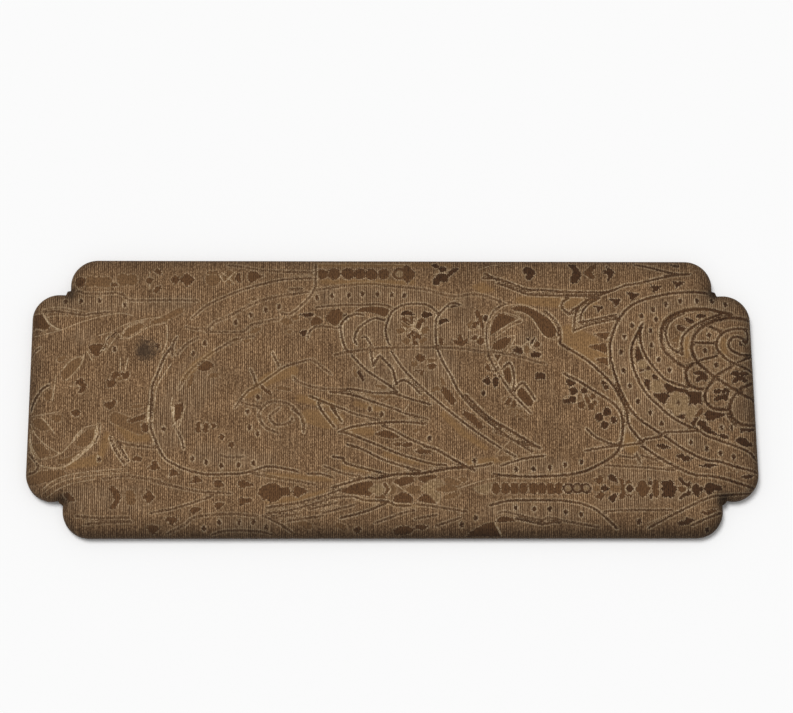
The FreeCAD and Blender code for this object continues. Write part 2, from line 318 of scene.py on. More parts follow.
def nearest_edge(u, v, beyond):
    """The stepped outline's point nearest to each (u, v), its outward normal and the signed distance.
    The first quarter's straight runs and arcs are each tried, and the others are mirror images of it.
    beyond is true where a point of a slit takes the run behind the slit instead of the one before it.
    """
    x, y = np.abs(u), np.abs(v)
    (ax, ay), (bx, by), (cx, cy) = EDGE_CENTRES
    one, zero = np.ones_like(x), np.zeros_like(x)
    tries = [
        (half_length * one, np.minimum(y, ay), one, zero, zero < 1),
        (np.clip(x, bx, ax), (half_depth - NOTCH) * one, zero, one, ~(beyond & (x > bx))),
        ((half_length - NOTCH) * one, np.clip(y, by, cy), one, zero, zero < 1),
        (np.minimum(x, cx), half_depth * one, zero, one, zero < 1),
    ]
    arcs = zip(EDGE_CENTRES, (CORNER_RADIUS, INSIDE_RADIUS, CORNER_RADIUS), (1, -1, 1))
    for (px, py), radius, outward in arcs:
        dx, dy = x - px, y - py
        length = np.maximum(np.hypot(dx, dy), 1e-9)
        first = (px, py) == EDGE_CENTRES[0]
        inside = (outward * dx >= 0) & (outward * dy >= 0) & ~(first & beyond)
        tries.append((
            px + radius * dx / length, py + radius * dy / length,
            outward * dx / length, outward * dy / length, inside,
        ))
    gap = np.stack([np.where(t[4], np.hypot(x - t[0], y - t[1]), np.inf) for t in tries])
    # on a slit both flaps are as near, and the one before it is taken
    gap[[2, 6]] += TINY
    best = gap.argmin(0)[None]
    ex, ey, nx, ny = (np.take_along_axis(np.stack([t[k] for t in tries]), best, 0)[0] for k in range(4))
    signed = (x - ex) * nx + (y - ey) * ny
    flip_x, flip_y = np.where(u < 0, -1, 1), np.where(v < 0, -1, 1)
    return ex * flip_x, ey * flip_y, nx * flip_x, ny * flip_y, signed


def edge_profile(s):
    """How far out and down the cloth is at arc length s past the start of the rolled edge, and its slope:
    a quarter turn of the roll, a straight fall, a quarter turn of the fold and the hem running back in.
    """
    roll = np.clip(s / ROLL, 0, np.pi / 2)
    fall = np.clip(s - roll_end, 0, wall)
    fold = np.clip((s - wall_end) / FOLD, 0, np.pi / 2)
    hem = np.clip(s - fold_end, 0, HEM)
    out = ROLL * np.sin(roll) - FOLD * (1 - np.cos(fold)) - hem
    down = ROLL * (1 - np.cos(roll)) + fall + FOLD * np.sin(fold)
    return out, down, roll + fold


# The figure of the weave, drawn on the flat cloth in mm from the middle of the tray, x to the right and
# y to the back. An outline is a smooth curve through a few points, in one of the weights below.
# weight: half its width in mm, how dark its groove is, how pale its raised rims are
WEIGHTS = {
    "broad": (0.82, 1.0, 0.6),
    "bold": (0.66, 1.0, 0.9),
    "plain": (0.58, 0.85, 1.0),
    "fine": (0.55, 0.62, 0.75),
    "faint": (0.6, 0.45, 0.6),
    "pale": (0.15, 0.0, 0.8),
    "bright": (0.22, 0.0, 1.2),
    "dot": (0.8, 1.0, 0.3),
    "faint dot": (0.8, 0.75, 0.3),
}
OUTLINES = {
    "broad": (
        # curls one inside another at the right-hand end, their bars and the cells under them
        (165.3, 41.3, 157, 43.5, 150, 44.2, 144, 43.4, 138.5, 41.8, 134, 38.8, 131.4, 34.6, 130.6, 29,
         131.4, 23.6, 134, 20.2, 137.4, 16.8, 141.3, 14.2),
        (174, 38.6, 166, 39.6, 158.8, 38.4, 151.2, 35, 146.8, 29.8, 145.4, 23.4, 147.6, 17, 152.4, 12.2,
         158.8, 7, 168.4, 0.6, 175, -2.5), (155.2, 34.8, 159.6, 32.6), (157.2, 10.2, 164.4, 14.4),
        (168, 3, 174, 6.2), (145.6, 15.9, 142.3, 13, 141.9, 9.6, 143.3, 5.7, 146, 3.4, 149.5, 2.9),
        (154.8, 7.4, 151.8, 3, 150.6, -0.4, 151.2, -4, 154.4, -6.9, 160.5, -7.6),
        (165.4, 0.2, 162.8, -4, 162.3, -8, 163.4, -11.6, 166.3, -14.4, 169.6, -15.4, 175, -15),
    ),
    "bold": (
        # great paisley at the right-hand end, the lobe that runs under it and the line beside the lobe
        (154, 52.6, 142.5, 52.8, 128.1, 50.5, 116.5, 45.7, 109.8, 37.5, 106, 27.9, 105.5, 22.1, 106, 16.3,
         109.3, 3.8, 113.7, -6.3, 118.5, -12.5, 127.6, -19.2),
        (80, 35, 81.2, 27, 82.9, 25, 94.4, 17.3, 103, 8.8, 107, 3.6, 110, -2.5, 112.3, -8, 112.9, -13.9,
         114.6, -17.8, 119.4, -24),
        (83, 10.5, 89.7, 7, 97.3, 1.8, 105, -3.4, 108.3, -7, 110, -10.6, 110.4, -15, 109.8, -20.4,
         107.3, -28.5, 98.3, -35.2, 86.9, -39.7, 67.9, -41.1, 53.5, -40.7, 48, -40),
        (119.4, -26, 129.5, -33.2, 142.5, -39.9, 150.9, -40.9, 158, -42.3, 165.3, -44.7, 174, -47.2),
        (130.2, -20.7, 136.9, -26, 143.7, -30.3, 150.9, -33.2, 155.7, -33.7, 162.9, -36, 174, -39),
        # crescent
        (121.8, 36.5, 117, 26.9, 115.8, 21.2, 117, 12, 121.8, 1.4, 127.8, -5.3, 133.1, -10.6, 139.8, -14.9,
         146.5, -17.8, 150.4, -20.7, 162.9, -25.5, 169.6, -28.4, 174, -32.5),
        (121.5, 36, 120.4, 28.8, 122.8, 19.7, 129.5, 10.1, 132.9, 7.2, 137.7, 5.3, 142.5, 3.8),
        # inner curls, and the spiral at their middle
        (160.8, 41.6, 153.2, 38.6, 147.2, 35.4, 142.4, 31.4, 141, 28.6, 140.5, 25.8, 140.6, 21.4),
        (172.4, 33.8, 167.7, 33.9, 162.9, 32.7, 159.5, 30.3, 157.6, 26.4, 158, 23.1, 160.5, 19.7,
         164.3, 16.8, 175, 11.6),
        (175, 20.7, 170, 20.4, 166.3, 21.6, 163.8, 24, 163.6, 26.9, 165.3, 29.1, 167.7, 29.8, 170.1, 29.1,
         171.1, 27), (172.4, 33.8, 173.4, 30.2, 172.4, 27), (147.6, 26.8, 156.4, 26.4),
        (149.6, 17.8, 157.2, 19.8), (167.6, 16.6, 174, 19.4),
        # scallops and shoots in the middle
        (35.2, -0.5, 45.8, -11.5, 56.3, -18.3, 69.8, -26.9),
        (15, -26.4, 19.8, -27.4, 29.4, -33.2, 38.1, -38),
        (-12, -41.6, -8.5, -42.1, -3.8, -41.2, 2, -40, 11.5, -39.8, 19.7, -38.3, 28.5, -36.8, 33.2, -36.8),
    ),
    "plain": (
        # right-hand end: leaves and borders about the great paisley
        (142, 41.6, 138.8, 40.2, 135.6, 37.8, 133.8, 35, 133, 31.8, 133.4, 28.2, 134.4, 25.4, 136.4, 23,
         140.6, 20.6),
        (92, -28.2, 101.1, -26.6, 118, -24.5, 120.4, -22.6, 128, -21.2, 130, -19.2, 137.7, -18.8,
         147.3, -18.3), (93, -17.5, 96.4, -20.9, 99.7, -22.8, 104, -24.7, 107.3, -25.2),
        (100.2, 52.4, 106.9, 53.4, 113.7, 56.3, 120.9, 57.5, 136.3, 61.3, 146, 62.3),
        (119.6, 67.3, 124.6, 66.3, 133.5, 63.8, 137.3, 62.7, 143, 62.1),
        (88.2, 32.7, 88.9, 39.4, 90.3, 43.7, 94.4, 48, 106.9, 53.4),
        (91.3, 37, 92.5, 42.3, 95.9, 46.6, 101, 49.5), (91.3, 36.9, 99.2, 38.7, 108.8, 40.9),
        (88.2, 32.7, 95.9, 35.8, 110.8, 39.4), (82.5, 45.9, 83.6, 48.2, 85.9, 49.5),
        (82.7, 44.5, 86.4, 40.9), (86.4, 40.9, 87.7, 43.2, 91.4, 45.5, 98.6, 50.9),
        (121, -66.2, 130.3, -61.2, 142.5, -55, 152, -50.9, 158.7, -50.1, 171.5, -49.4),
        (141.7, -64.9, 155.7, -58.7),
        # middle: scallops, shoots and the leaves below them
        (44.5, 60, 51.5, 59.6, 55.9, 58.2, 65.5, 54.3, 72.7, 53.8, 85, 52.9, 100.2, 52.6),
        (45.9, 62.3, 49, 60.5), (51.5, 57.2, 55.9, 55.8, 65.5, 51.9, 72.7, 51.2, 85, 50.9, 99.5, 50.7),
        (45.8, -55.3, 55.4, -53.1, 72.7, -52.9, 80, -53.1, 89.6, -54.8, 96.8, -58.2, 105.5, -66.3),
        (74.5, 42.7, 77.3, 40, 79.5, 37.3, 81.4, 33.6, 81.6, 30, 81.4, 26.4),
        (46.1, 20.5, 48.7, 14.5, 54.5, 4.9, 56.9, 1, 60.2, -2.8, 65.9, -9),
        (52.3, 12.7, 55.9, 16.1, 57.3, 15, 58.2, 11.4, 58.6, 8, 57.9, 2),
        (58.8, 2, 60.2, 4.1, 62.8, 6, 65, 3, 68.3, -2.3),
        (28.5, 8.7, 24.1, 16.8, 21.2, 25.5, 21, 35.6, 22.2, 40.4, 27.5, 46.2, 30.4, 47.1, 32.8, 46.2),
        (-10.6, 22.1, -10.1, 18.3, -9.6, 14.9), (-9.6, 14.9, -6.5, 19.9), (-6.5, 19.9, -0.5, 13, 1.4, 5.3),
        (1.4, 5.3, 3.4, 6.7, 5.3, 7.2, 9.1, 4.8, 13, 0.5), (33.2, -36.8, 41.9, -35.8, 46.7, -34.6),
        (51.6, -35.6, 58.3, -33.4, 65.4, -31.6, 72, -30.8),
        (58, -62, 63, -62.8, 67, -64, 71, -64.4, 75.5, -63.6, 78, -63.8),
        (-39.9, -1, -29.8, -5.3, -23.1, -7.7), (-36.1, -4.3, -34.1, -8.7, -28.4, -16.3),
        (-29.8, -6.3, -25, -13.5), (-5, -16, 0, -18, 5, -21, 10, -23.5, 19.8, -27.6),
        (-28.8, -31.3, -24, -32.2, -22.6, -34.6, -13.5, -37.3, -3.8, -39.9),
        (-29.3, -46.6, -16.8, -42.8, -12, -41.6),
        (-19.2, -51, -13.5, -52.9, -3.8, -53.4, 1, -55.3, 7.7, -55.5),
        (-25, -61.5, -13.5, -58.4, -3.8, -54.3),
        (-1.9, 25.5, -3.4, 33.2, -1, 41.3, 1.9, 44.2, 6.2, 46.2, 11.5, 46.6, 17.3, 45.9, 22.2, 41.8),
        (-14.4, 40.9, -19.2, 40.9, -24.5, 37, -25, 31.7, -23.1, 23.6, -20.7, 21.6),
        (-4.3, 38, -9.1, 38.9, -16.3, 34.1, -18.5, 28.4, -17.8, 26), (-14.4, 29.3, -13, 29.3, -10.6, 25.5),
        (-19.7, 19.7, -12.5, 12, -2.9, 5.3, 1.9, 1.4), (-0.5, 21.6, 4.3, 13.9, 10.6, 6.7, 17.3, 0),
        (17.3, 0, 27, -8.5, 38, -17.5, 50, -26, 58, -31),
        (28.5, 8.7, 31.6, 1.6, 40, -8.6, 52, -19, 66, -28.6),
        (-48.5, -7.5, -45, -10, -43.3, -14, -43, -18.5),
        (-23.3, 2.5, -18.5, 2.5, -9, 0.8, 0, 0.5, 7.5, -2, 17.5, -5),
        (-30.5, 1.2, -24, 0.6, -17, -1, -9, -4, -1, -6.8, 7, -10, 12, -11.5),
        (-26, -18.9, -19.2, -16.3, -6.7, -14.4, 6.3, -13.9, 14.9, -14.9),
        (-25.4, -18.7, -19.2, -20.7, -7.7, -25.5, 3.8, -30.3, 17.3, -34.6, 25, -35.6),
        (-22, -25.2, -15.4, -27.4, -3.8, -33.2, 12.5, -38.5),
        # left-hand side: its paisley, and leaves of the far left
        (-108, 23, -111, 17.5, -113.5, 10, -115.5, 5, -116.1, -2.5, -116, -15, -115, -20, -109.7, -31.3,
         -104.1, -35.2, -99.7, -37.4, -90.2, -39.9, -79.1, -39.9, -70.8, -39.4, -60.2, -36.3, -51.3, -37.4,
         -45.8, -38.6), (-140, 23, -137.5, 28.5, -134, 31.5),
        (-173.8, -8.5, -172.5, -4.5, -170.5, -0.5, -168.5, 2.5, -165.5, 4.5),
        (-135, -22, -133.2, -27, -129.7, -32.6, -127, -36), (-131.6, -24, -129, -29, -126.4, -33.4),
    ),
    "fine": (
        # right-hand end
        (101, -35.6, 122, -36.8, 134, -38), (100, -58.5, 110, -57.8, 132, -57.7),
        (108.4, -30.8, 113.7, -31.7, 117, -31.2), (119.4, -30.8, 125.7, -33.2),
        (116.6, -29.9, 117, -32.3, 118, -34), (160.8, -10.5, 162.5, -13, 164.6, -15.7),
        # middle
        (-41.3, 28.8, -40.4, 32.2, -37, 34.6, -31.7, 34.6, -26.4, 33.7),
        (45.9, 24.5, 45.5, 29, 45.9, 34.5, 47.3, 38.6, 49.1, 42.3, 52.3, 45, 55.5, 46.4),
        (58.2, 20.9, 60.5, 20, 65, 18.6), (-50, 54.1, -44.2, 54.3), (-50, 51.4, -41.8, 52.4),
        (-36.9, 44.7, -30.6, 45.3, -24.4, 45.9, -13.8, 45.9, -7.5, 46.3, -1.3, 45.3),
        (50, -59, 53, -58.5, 58, -59.8, 69.5, -62.6, 73.6, -61.4, 82, -63.3, 97, -65.9),
        (48.8, -19, 53.5, -20.9, 58.3, -23.2, 64, -25.1, 69.2, -26.1), (15, -55.3, 27, -57.2, 34.2, -58.4),
        (20.1, -65.3, 31.2, -61.5), (8.2, -10.1, 16.3, -12.5), (-40.4, -39.9, -34.6, -39.9, -28.8, -41.8),
        (-33.2, -36, -23.1, -39.9, -16.3, -40.9), (10.1, -54.8, 20, -56), (-39.9, -57.2, -27.4, -54.3),
        (-33.7, -59.1, -19.2, -55.3), (-50, -63, -34.1, -60.6), (-8.7, -63.9, 4.3, -59.1, 9.6, -57.7),
        (10.1, -62, 20, -60.1), (-37.5, 67, -37.5, 58.2, -38, 54.3, -41.3, 49, -49, 41.6, -53.9, 41.3),
        (-60, -56.5, -45, -54, -33, -50.5, -26, -48),
        (-60, -59.5, -48, -57.5, -36, -54, -28, -51.5, -20, -51), (-23.1, -7.7, -19.2, -9.6, -7.7, -12.7),
        # left-hand side
        (-169.5, 42, -164, 42.4, -158, 41.6, -150, 40.4, -146, 41.2, -138, 42),
        (-58, 20.9, -56.9, 18.1, -55.2, 14.8), (-68.6, 12.6, -66.9, 8.7, -65.8, 4.8),
        (-106.6, 20, -106.3, 25.6, -104.7, 28.9), (-104.7, -15.8, -101.3, -22.4, -100.2, -26.9),
        (-115, -59.1, -103.5, -56.7, -91.9, -52.9, -85.7, -50.5),
        (-62, -60.8, -59.1, -61.9, -54.7, -64.1, -48.6, -68),
        (-86, -69.4, -82, -68, -77, -67.3, -70.8, -67.4, -64, -67.8, -58, -69.2),
        (-140.8, -15, -141, -20, -142.3, -24),
        (-174, -29.5, -171.5, -32, -169.5, -35, -169, -37, -170.5, -38.8, -174, -40),
        (-175, 18.5, -173, 21.5, -170.5, 23.5),
        (-97.4, 38.9, -90.2, 45.6, -80.2, 50.6, -70.2, 54.7, -56.9, 58.3, -51.3, 59.2, -40, 59.7),
        (-75.8, -6.3, -70.2, 1.4, -64.7, 4.8, -53.6, 13.1, -48, 15.6, -40.2, 17.6),
    ),
    "faint": (
        # middle: the arcs over and across the scallops
        (-38.9, 17.8, -30.3, 10.6), (-48.1, 8.7, -44.7, 5.8, -34.1, 2.9, -23.1, 2.4),
        (-36.1, 53.8, -21.2, 56.2, -11.5, 57, -1.9, 56, 15, 54.2),
        (-27.9, 20.2, -16.3, 22.4, -1.9, 23.8, 24.6, 24, 41.4, 22.4, 55.4, 20.7, 73.7, 15.9),
        (15, 54.3, 29.9, 50.5, 40, 51.7, 50.1, 49, 55.4, 46.2),
        # left-hand side, where the grooves are paler
        (-89, 34.1, -86, 37, -80.4, 39.4, -73.7, 43.2, -64.5, 47.8, -54.9, 50.4, -48, 51.4),
        (-100.2, 34.4, -95.8, 33.3, -90.8, 33.3, -89.1, 31.7, -73.6, 31.7, -70.2, 33.9, -66.9, 36.1,
         -54.9, 38.5), (-66.3, -39.7, -60.2, -41, -46.9, -43.3, -38, -45),
        (-80, 66.6, -73.6, 65.8, -68, 64.6, -60, 63.6, -40, 62.8),
        (-153, 53, -148, 51.5, -135.5, 51.8, -131.5, 51, -129.5, 49, -125, 48, -108, 48.3, -95, 48),
        (-104, 20.6, -99.7, 25.6, -94.7, 28.6), (-90, 19.2, -98.7, 11, -103, 2.9),
        (-72.7, -4.3, -64.5, -6.2),
        (-55.4, -19.2, -61.6, -16.3, -64.5, -9.6, -59.2, -3.8, -50.1, -5, -43.7, -12, -42.8, -18.3),
        (-54.9, -7.2, -59.2, -11, -55.9, -15.4, -49.1, -13.9, -48.7, -12),
        (-82.3, -30.8, -77.5, -31.7, -71.7, -31.3),
        (-115, -43.3, -103.5, -46.2, -91.9, -48.6, -77.5, -49.5), (-57.8, -61.5, -45, -59.6),
        (-106.8, -68.7, -99.1, -64.9, -93.8, -61.1, -79.4, -59.6, -65, -60.6),
        (-137.5, -42.3, -129, -40.9, -119.9, -41.9, -110.8, -43.3),
        (-131.5, -24, -125.5, -25.5, -118.5, -26.5, -113, -26.8), (-68, 29.5, -76, 28, -83, 24, -90, 19.5),
        (-150, -60.6, -138, -61.5, -126, -61.2), (-146, -64.6, -136, -63.6, -124, -63.3),
    ),
    "pale": (
        # right-hand end
        (145.6, -15.6, 146, -13.8, 147.5, -12.3, 150.3, -12.9, 151.6, -14.4),
        (119.8, -64.2, 126.4, -61.5, 130, -60), (138.9, -45.9, 140.2, -47.3, 138.9, -48.7),
        (141.7, -45.3, 142.3, -46.2, 141.4, -47.6, 142.3, -48.9),
        (114.8, -47.1, 112.5, -44.8, 110.2, -47.1, 112.5, -49.4, 114.8, -47.1), (88.8, 0.5, 88.3, -4),
        (91.5, 0, 93, -5), (94, -0.5, 96, -4), (82, -2, 84, -0.5, 88, -0.8),
        # middle: edges and veins of the comma-shaped leaf and of the flowers
        (47.5, 35, 47.7, 38.2, 49.1, 40.9, 51.8, 43.6, 55, 45.5, 61.8, 46.4, 65.5, 45.9, 72.7, 42.3,
         77.7, 37.7, 80.5, 31.8, 80.7, 28.6),
        (59.5, 42.7, 62.7, 42.3, 65.5, 40.9, 68.2, 38.6, 71.8, 32.3, 73.6, 30, 76.4, 28.6, 80.9, 27.7),
        (47.5, 30, 52, 33, 58, 37, 61.4, 38.6, 60, 40.5, 54, 42.3),
        (60, 42.7, 61.8, 40, 63.2, 37.3, 57.3, 34.5, 50, 29.1), (55.5, 30, 59.5, 30, 58.2, 26.4, 55, 21.8),
        (52.3, 19.5, 50.9, 16.4, 51.4, 14.5), (42.7, 64.5, 46, 65.9, 50, 67, 58, 67.5),
        (45, 20, 48, 14.1, 51.2, 8.2), (48.6, 20.5, 50.9, 15.5, 53.6, 10), (63, 25, 66, 27.4),
        (66, 27.4, 67, 23.6), (67, 23.6, 69.8, 29.3), (49.1, -29.8, 55.4, -23.6),
        # the long pale line at y 67.6 along the back is a painted highlight where the cloth starts to roll
        # over the back edge
        (30.4, -47.1, 41.9, -43.3, 48.7, -41.8), (-37, 67.6, 9, 67.4), (20.6, 61.9, 23.8, 62.8, 26.9, 62.5),
        (-3.2, -44.5, -1.5, -47.4, -3.2, -49.8), (0.3, -44.5, 3.8, -47.1, 5.6, -48.6), (7.5, -5, 5, -9),
        (3.3, -25.8, 3.3, -27.5), (10.3, 38.8, 10.3, 35), (13.1, 31.3, 13.8, 33.8),
        (2, 30.4, 4.2, 31, 6.4, 32.4, 5.6, 34.4), (8.8, 33.8, 10.2, 35.2, 10.6, 38.6),
        (12.2, 31.6, 13.6, 33.2, 14.4, 36), (8.6, 26.4, 9.2, 28.4, 8.8, 30.2),
        (36.2, 33, 38.6, 32.6, 41.6, 33.8, 42.4, 36.4), (37.6, 27.4, 40.6, 27.8, 42, 30),
        (57.4, 24.6, 60, 25.2, 63, 24, 63.4, 21.4), (66.2, 22, 69, 22.9, 72.2, 21.8),
        (10.6, 34.6, 12.2, 38.6), (10.6, 34.6, 7, 37.2), (10.6, 34.6, 13.8, 31.2), (10.6, 34.6, 8.2, 31.6),
        # left-hand side: edges of leaves, and threads fanned out from the front corner
        (-84, 60.5, -82, 57.8, -79.5, 60, -77, 62.8), (-83, 62.5, -79.7, 59.5, -77.5, 57),
        (-90.5, 61.5, -86, 61.5), (-118.6, 61, -118.6, 62.5), (-118.5, 54, -118.5, 56.5),
        (-89, 31.2, -72.7, 31.2), (-106, -1.3, -106.6, -5.8, -105.5, -11.3, -103.6, -17.4),
        (-99.7, -5.8, -100.8, -10.2, -102.4, -15.8),
        (-107.2, 15.3, -110.8, 9.2, -113.6, 3.7, -114.4, -3, -115.2, -14), (-169, 39.5, -163, 40, -158, 40),
        (-156, 4, -150.5, 4), (-131.5, 18, -131.5, 12.5), (-128, 18, -129, 12.5),
        (-173, -11, -168, -10.3, -160.5, -9), (-168, -12, -164.5, -16, -162, -19.5),
        (-169.5, 43.6, -162, 44.6, -155, 43.4, -150, 42.6),
        (-173.4, 29.4, -168, 30.5, -160, 33, -152, 36.4, -145.5, 38.6, -138, 40.6, -132, 41.4, -126, 40.2),
        (-173, 33.6, -168, 31.6), (-142, 30, -136.4, 32, -131, 35, -126, 37, -120.5, 38.4, -112, 39.4),
        (-131.4, 28.6, -131.2, 31, -128.4, 34.4, -124.4, 36.6, -121, 36.8),
        (-131.3, 28, -128, 28.4, -124, 30.6, -119, 34, -113, 35.8, -110.3, 36.4),
        (-109.5, 35, -109.2, 29.4, -109.8, 25, -111.6, 20.6), (-147.6, 21.6, -145, 17),
        (-149.2, 20, -150, 16, -153, 11.4, -157, 7), (-150.6, 19.2, -155.4, 17, -159.4, 12),
        (-141.2, 21.8, -138.6, 26.4, -135.4, 31.2), (-138.8, 21.4, -136, 26.2, -133, 30.6),
        (-162.3, 9, -162.8, 3, -163.4, -3), (-173.5, -15, -171, -20, -167, -24.4, -163, -27.4, -159, -29.8),
        (-173.8, -19, -172.4, -26, -169, -32),
        (-141.4, -15.4, -147, -16.6, -151, -20.2, -154, -25, -157.4, -28.8, -162, -31.4, -167, -32.8),
        (-148.6, -18.6, -153, -24, -158.4, -30),
        (-142.4, -18, -142.6, -21, -144.2, -24.6, -148.2, -28.6, -153, -32.4),
        (-166.5, -47.2, -160.4, -42.6, -152, -39.8, -140, -38.2, -128, -37.2),
        (-134, -21.6, -132.2, -26.6, -128.8, -32, -126.2, -35.4),
        (-166, -49.2, -160, -44.8, -152, -42, -140, -40.3, -126, -39.2),
        (-164.6, -51.2, -158.6, -47, -151.6, -44.3, -142, -42.6),
    ),
    # the short, near-upright bright lines beside outlines and dots are painted highlights; the long curve at
    # the left-hand side is a pale thread
    "bright": (
        # right-hand end
        (104.7, 26, 104.7, 14),
        # middle
        (48, -64.5, 50.8, -69.5),
        # left-hand side
        (-117.5, -6, -117.5, -14), (-105.3, -7, -105.3, -13.5),
        (-169, 40, -166.5, 36, -163.5, 34, -161.5, 33), (-141, -31, -141, -33.5),
        (-141.4, -16, -141.2, -20, -142.8, -24.4, -147, -29, -152, -33.4, -157, -36.4, -163, -36.9,
         -168.6, -35.2, -172, -30, -173.8, -23),
    ),
}
DOTS = (
    # great paisley's borders, and the curls
    156.4, 48.3, 149, 48.3, 140.8, 48.3, 133.8, 46.5, 127.3, 43.7, 121.5, 40.4, 116.7, 35.6, 112.7, 29.6,
    110.8, 21.7, 111.7, 12.3, 114.4, 4.6, 118, -3.3, 123.9, -9.1, 129, -14.6, 142.7, -24, 150.2, -27.2,
    156.6, -29.4, 162.9, -31.3, 162.9, 46.4, 128.5, 38.8, 125.6, 33, 125.8, 25.4, 128.9, 18, 134.1, 12.6,
    154, 30.6, 151.8, 22.6, 156.8, 15.2, 157.8, -16.5, 137.5, -4, 148.8, -67.2,
    # middle
    57.8, -56.6, 66.5, -57.1, 74, -57.2, 81.5, -58.8, 88.8, -59.9, 38.8, -61.5, 32, -64.7, 58.5, -37.6,
    66.7, -37.3, 74.6, -36.7, 81.9, -35.3, 89.7, -34, 38.6, -33.3, 43.6, 0.8, 17.3, -22.1, -36.8, 49.7,
    -29.5, 50.5, -21.3, 51, -14.7, 51.6, -7.2, 51.6, -0.3, 51.2, 5.8, 51, -11.2, -7.3, -5.5, -10,
    # left-hand side
    -91, 26, -96.5, 20.7, -76.3, 36.7, -68.8, 40.4, -61.8, 43.2, -55.4, 44.8, -159, 47.5, -151.5, 47.7,
    -142.5, 48.1, -130.2, 45.7, -134.5, 23, -110, -17.5, -65, -1.5, -70, -9, -68.8, -16.8, -65, -19.7,
    -95.8, -32.2, -89.3, -34.2, -82, -36, -73.9, -35.4, -66.8, -34.5, -89.8, -66.5, -82.6, -63.5,
    -73.2, -63.6, -66.5, -63.5, -60.5, -66, -140.3, -32.7,
)

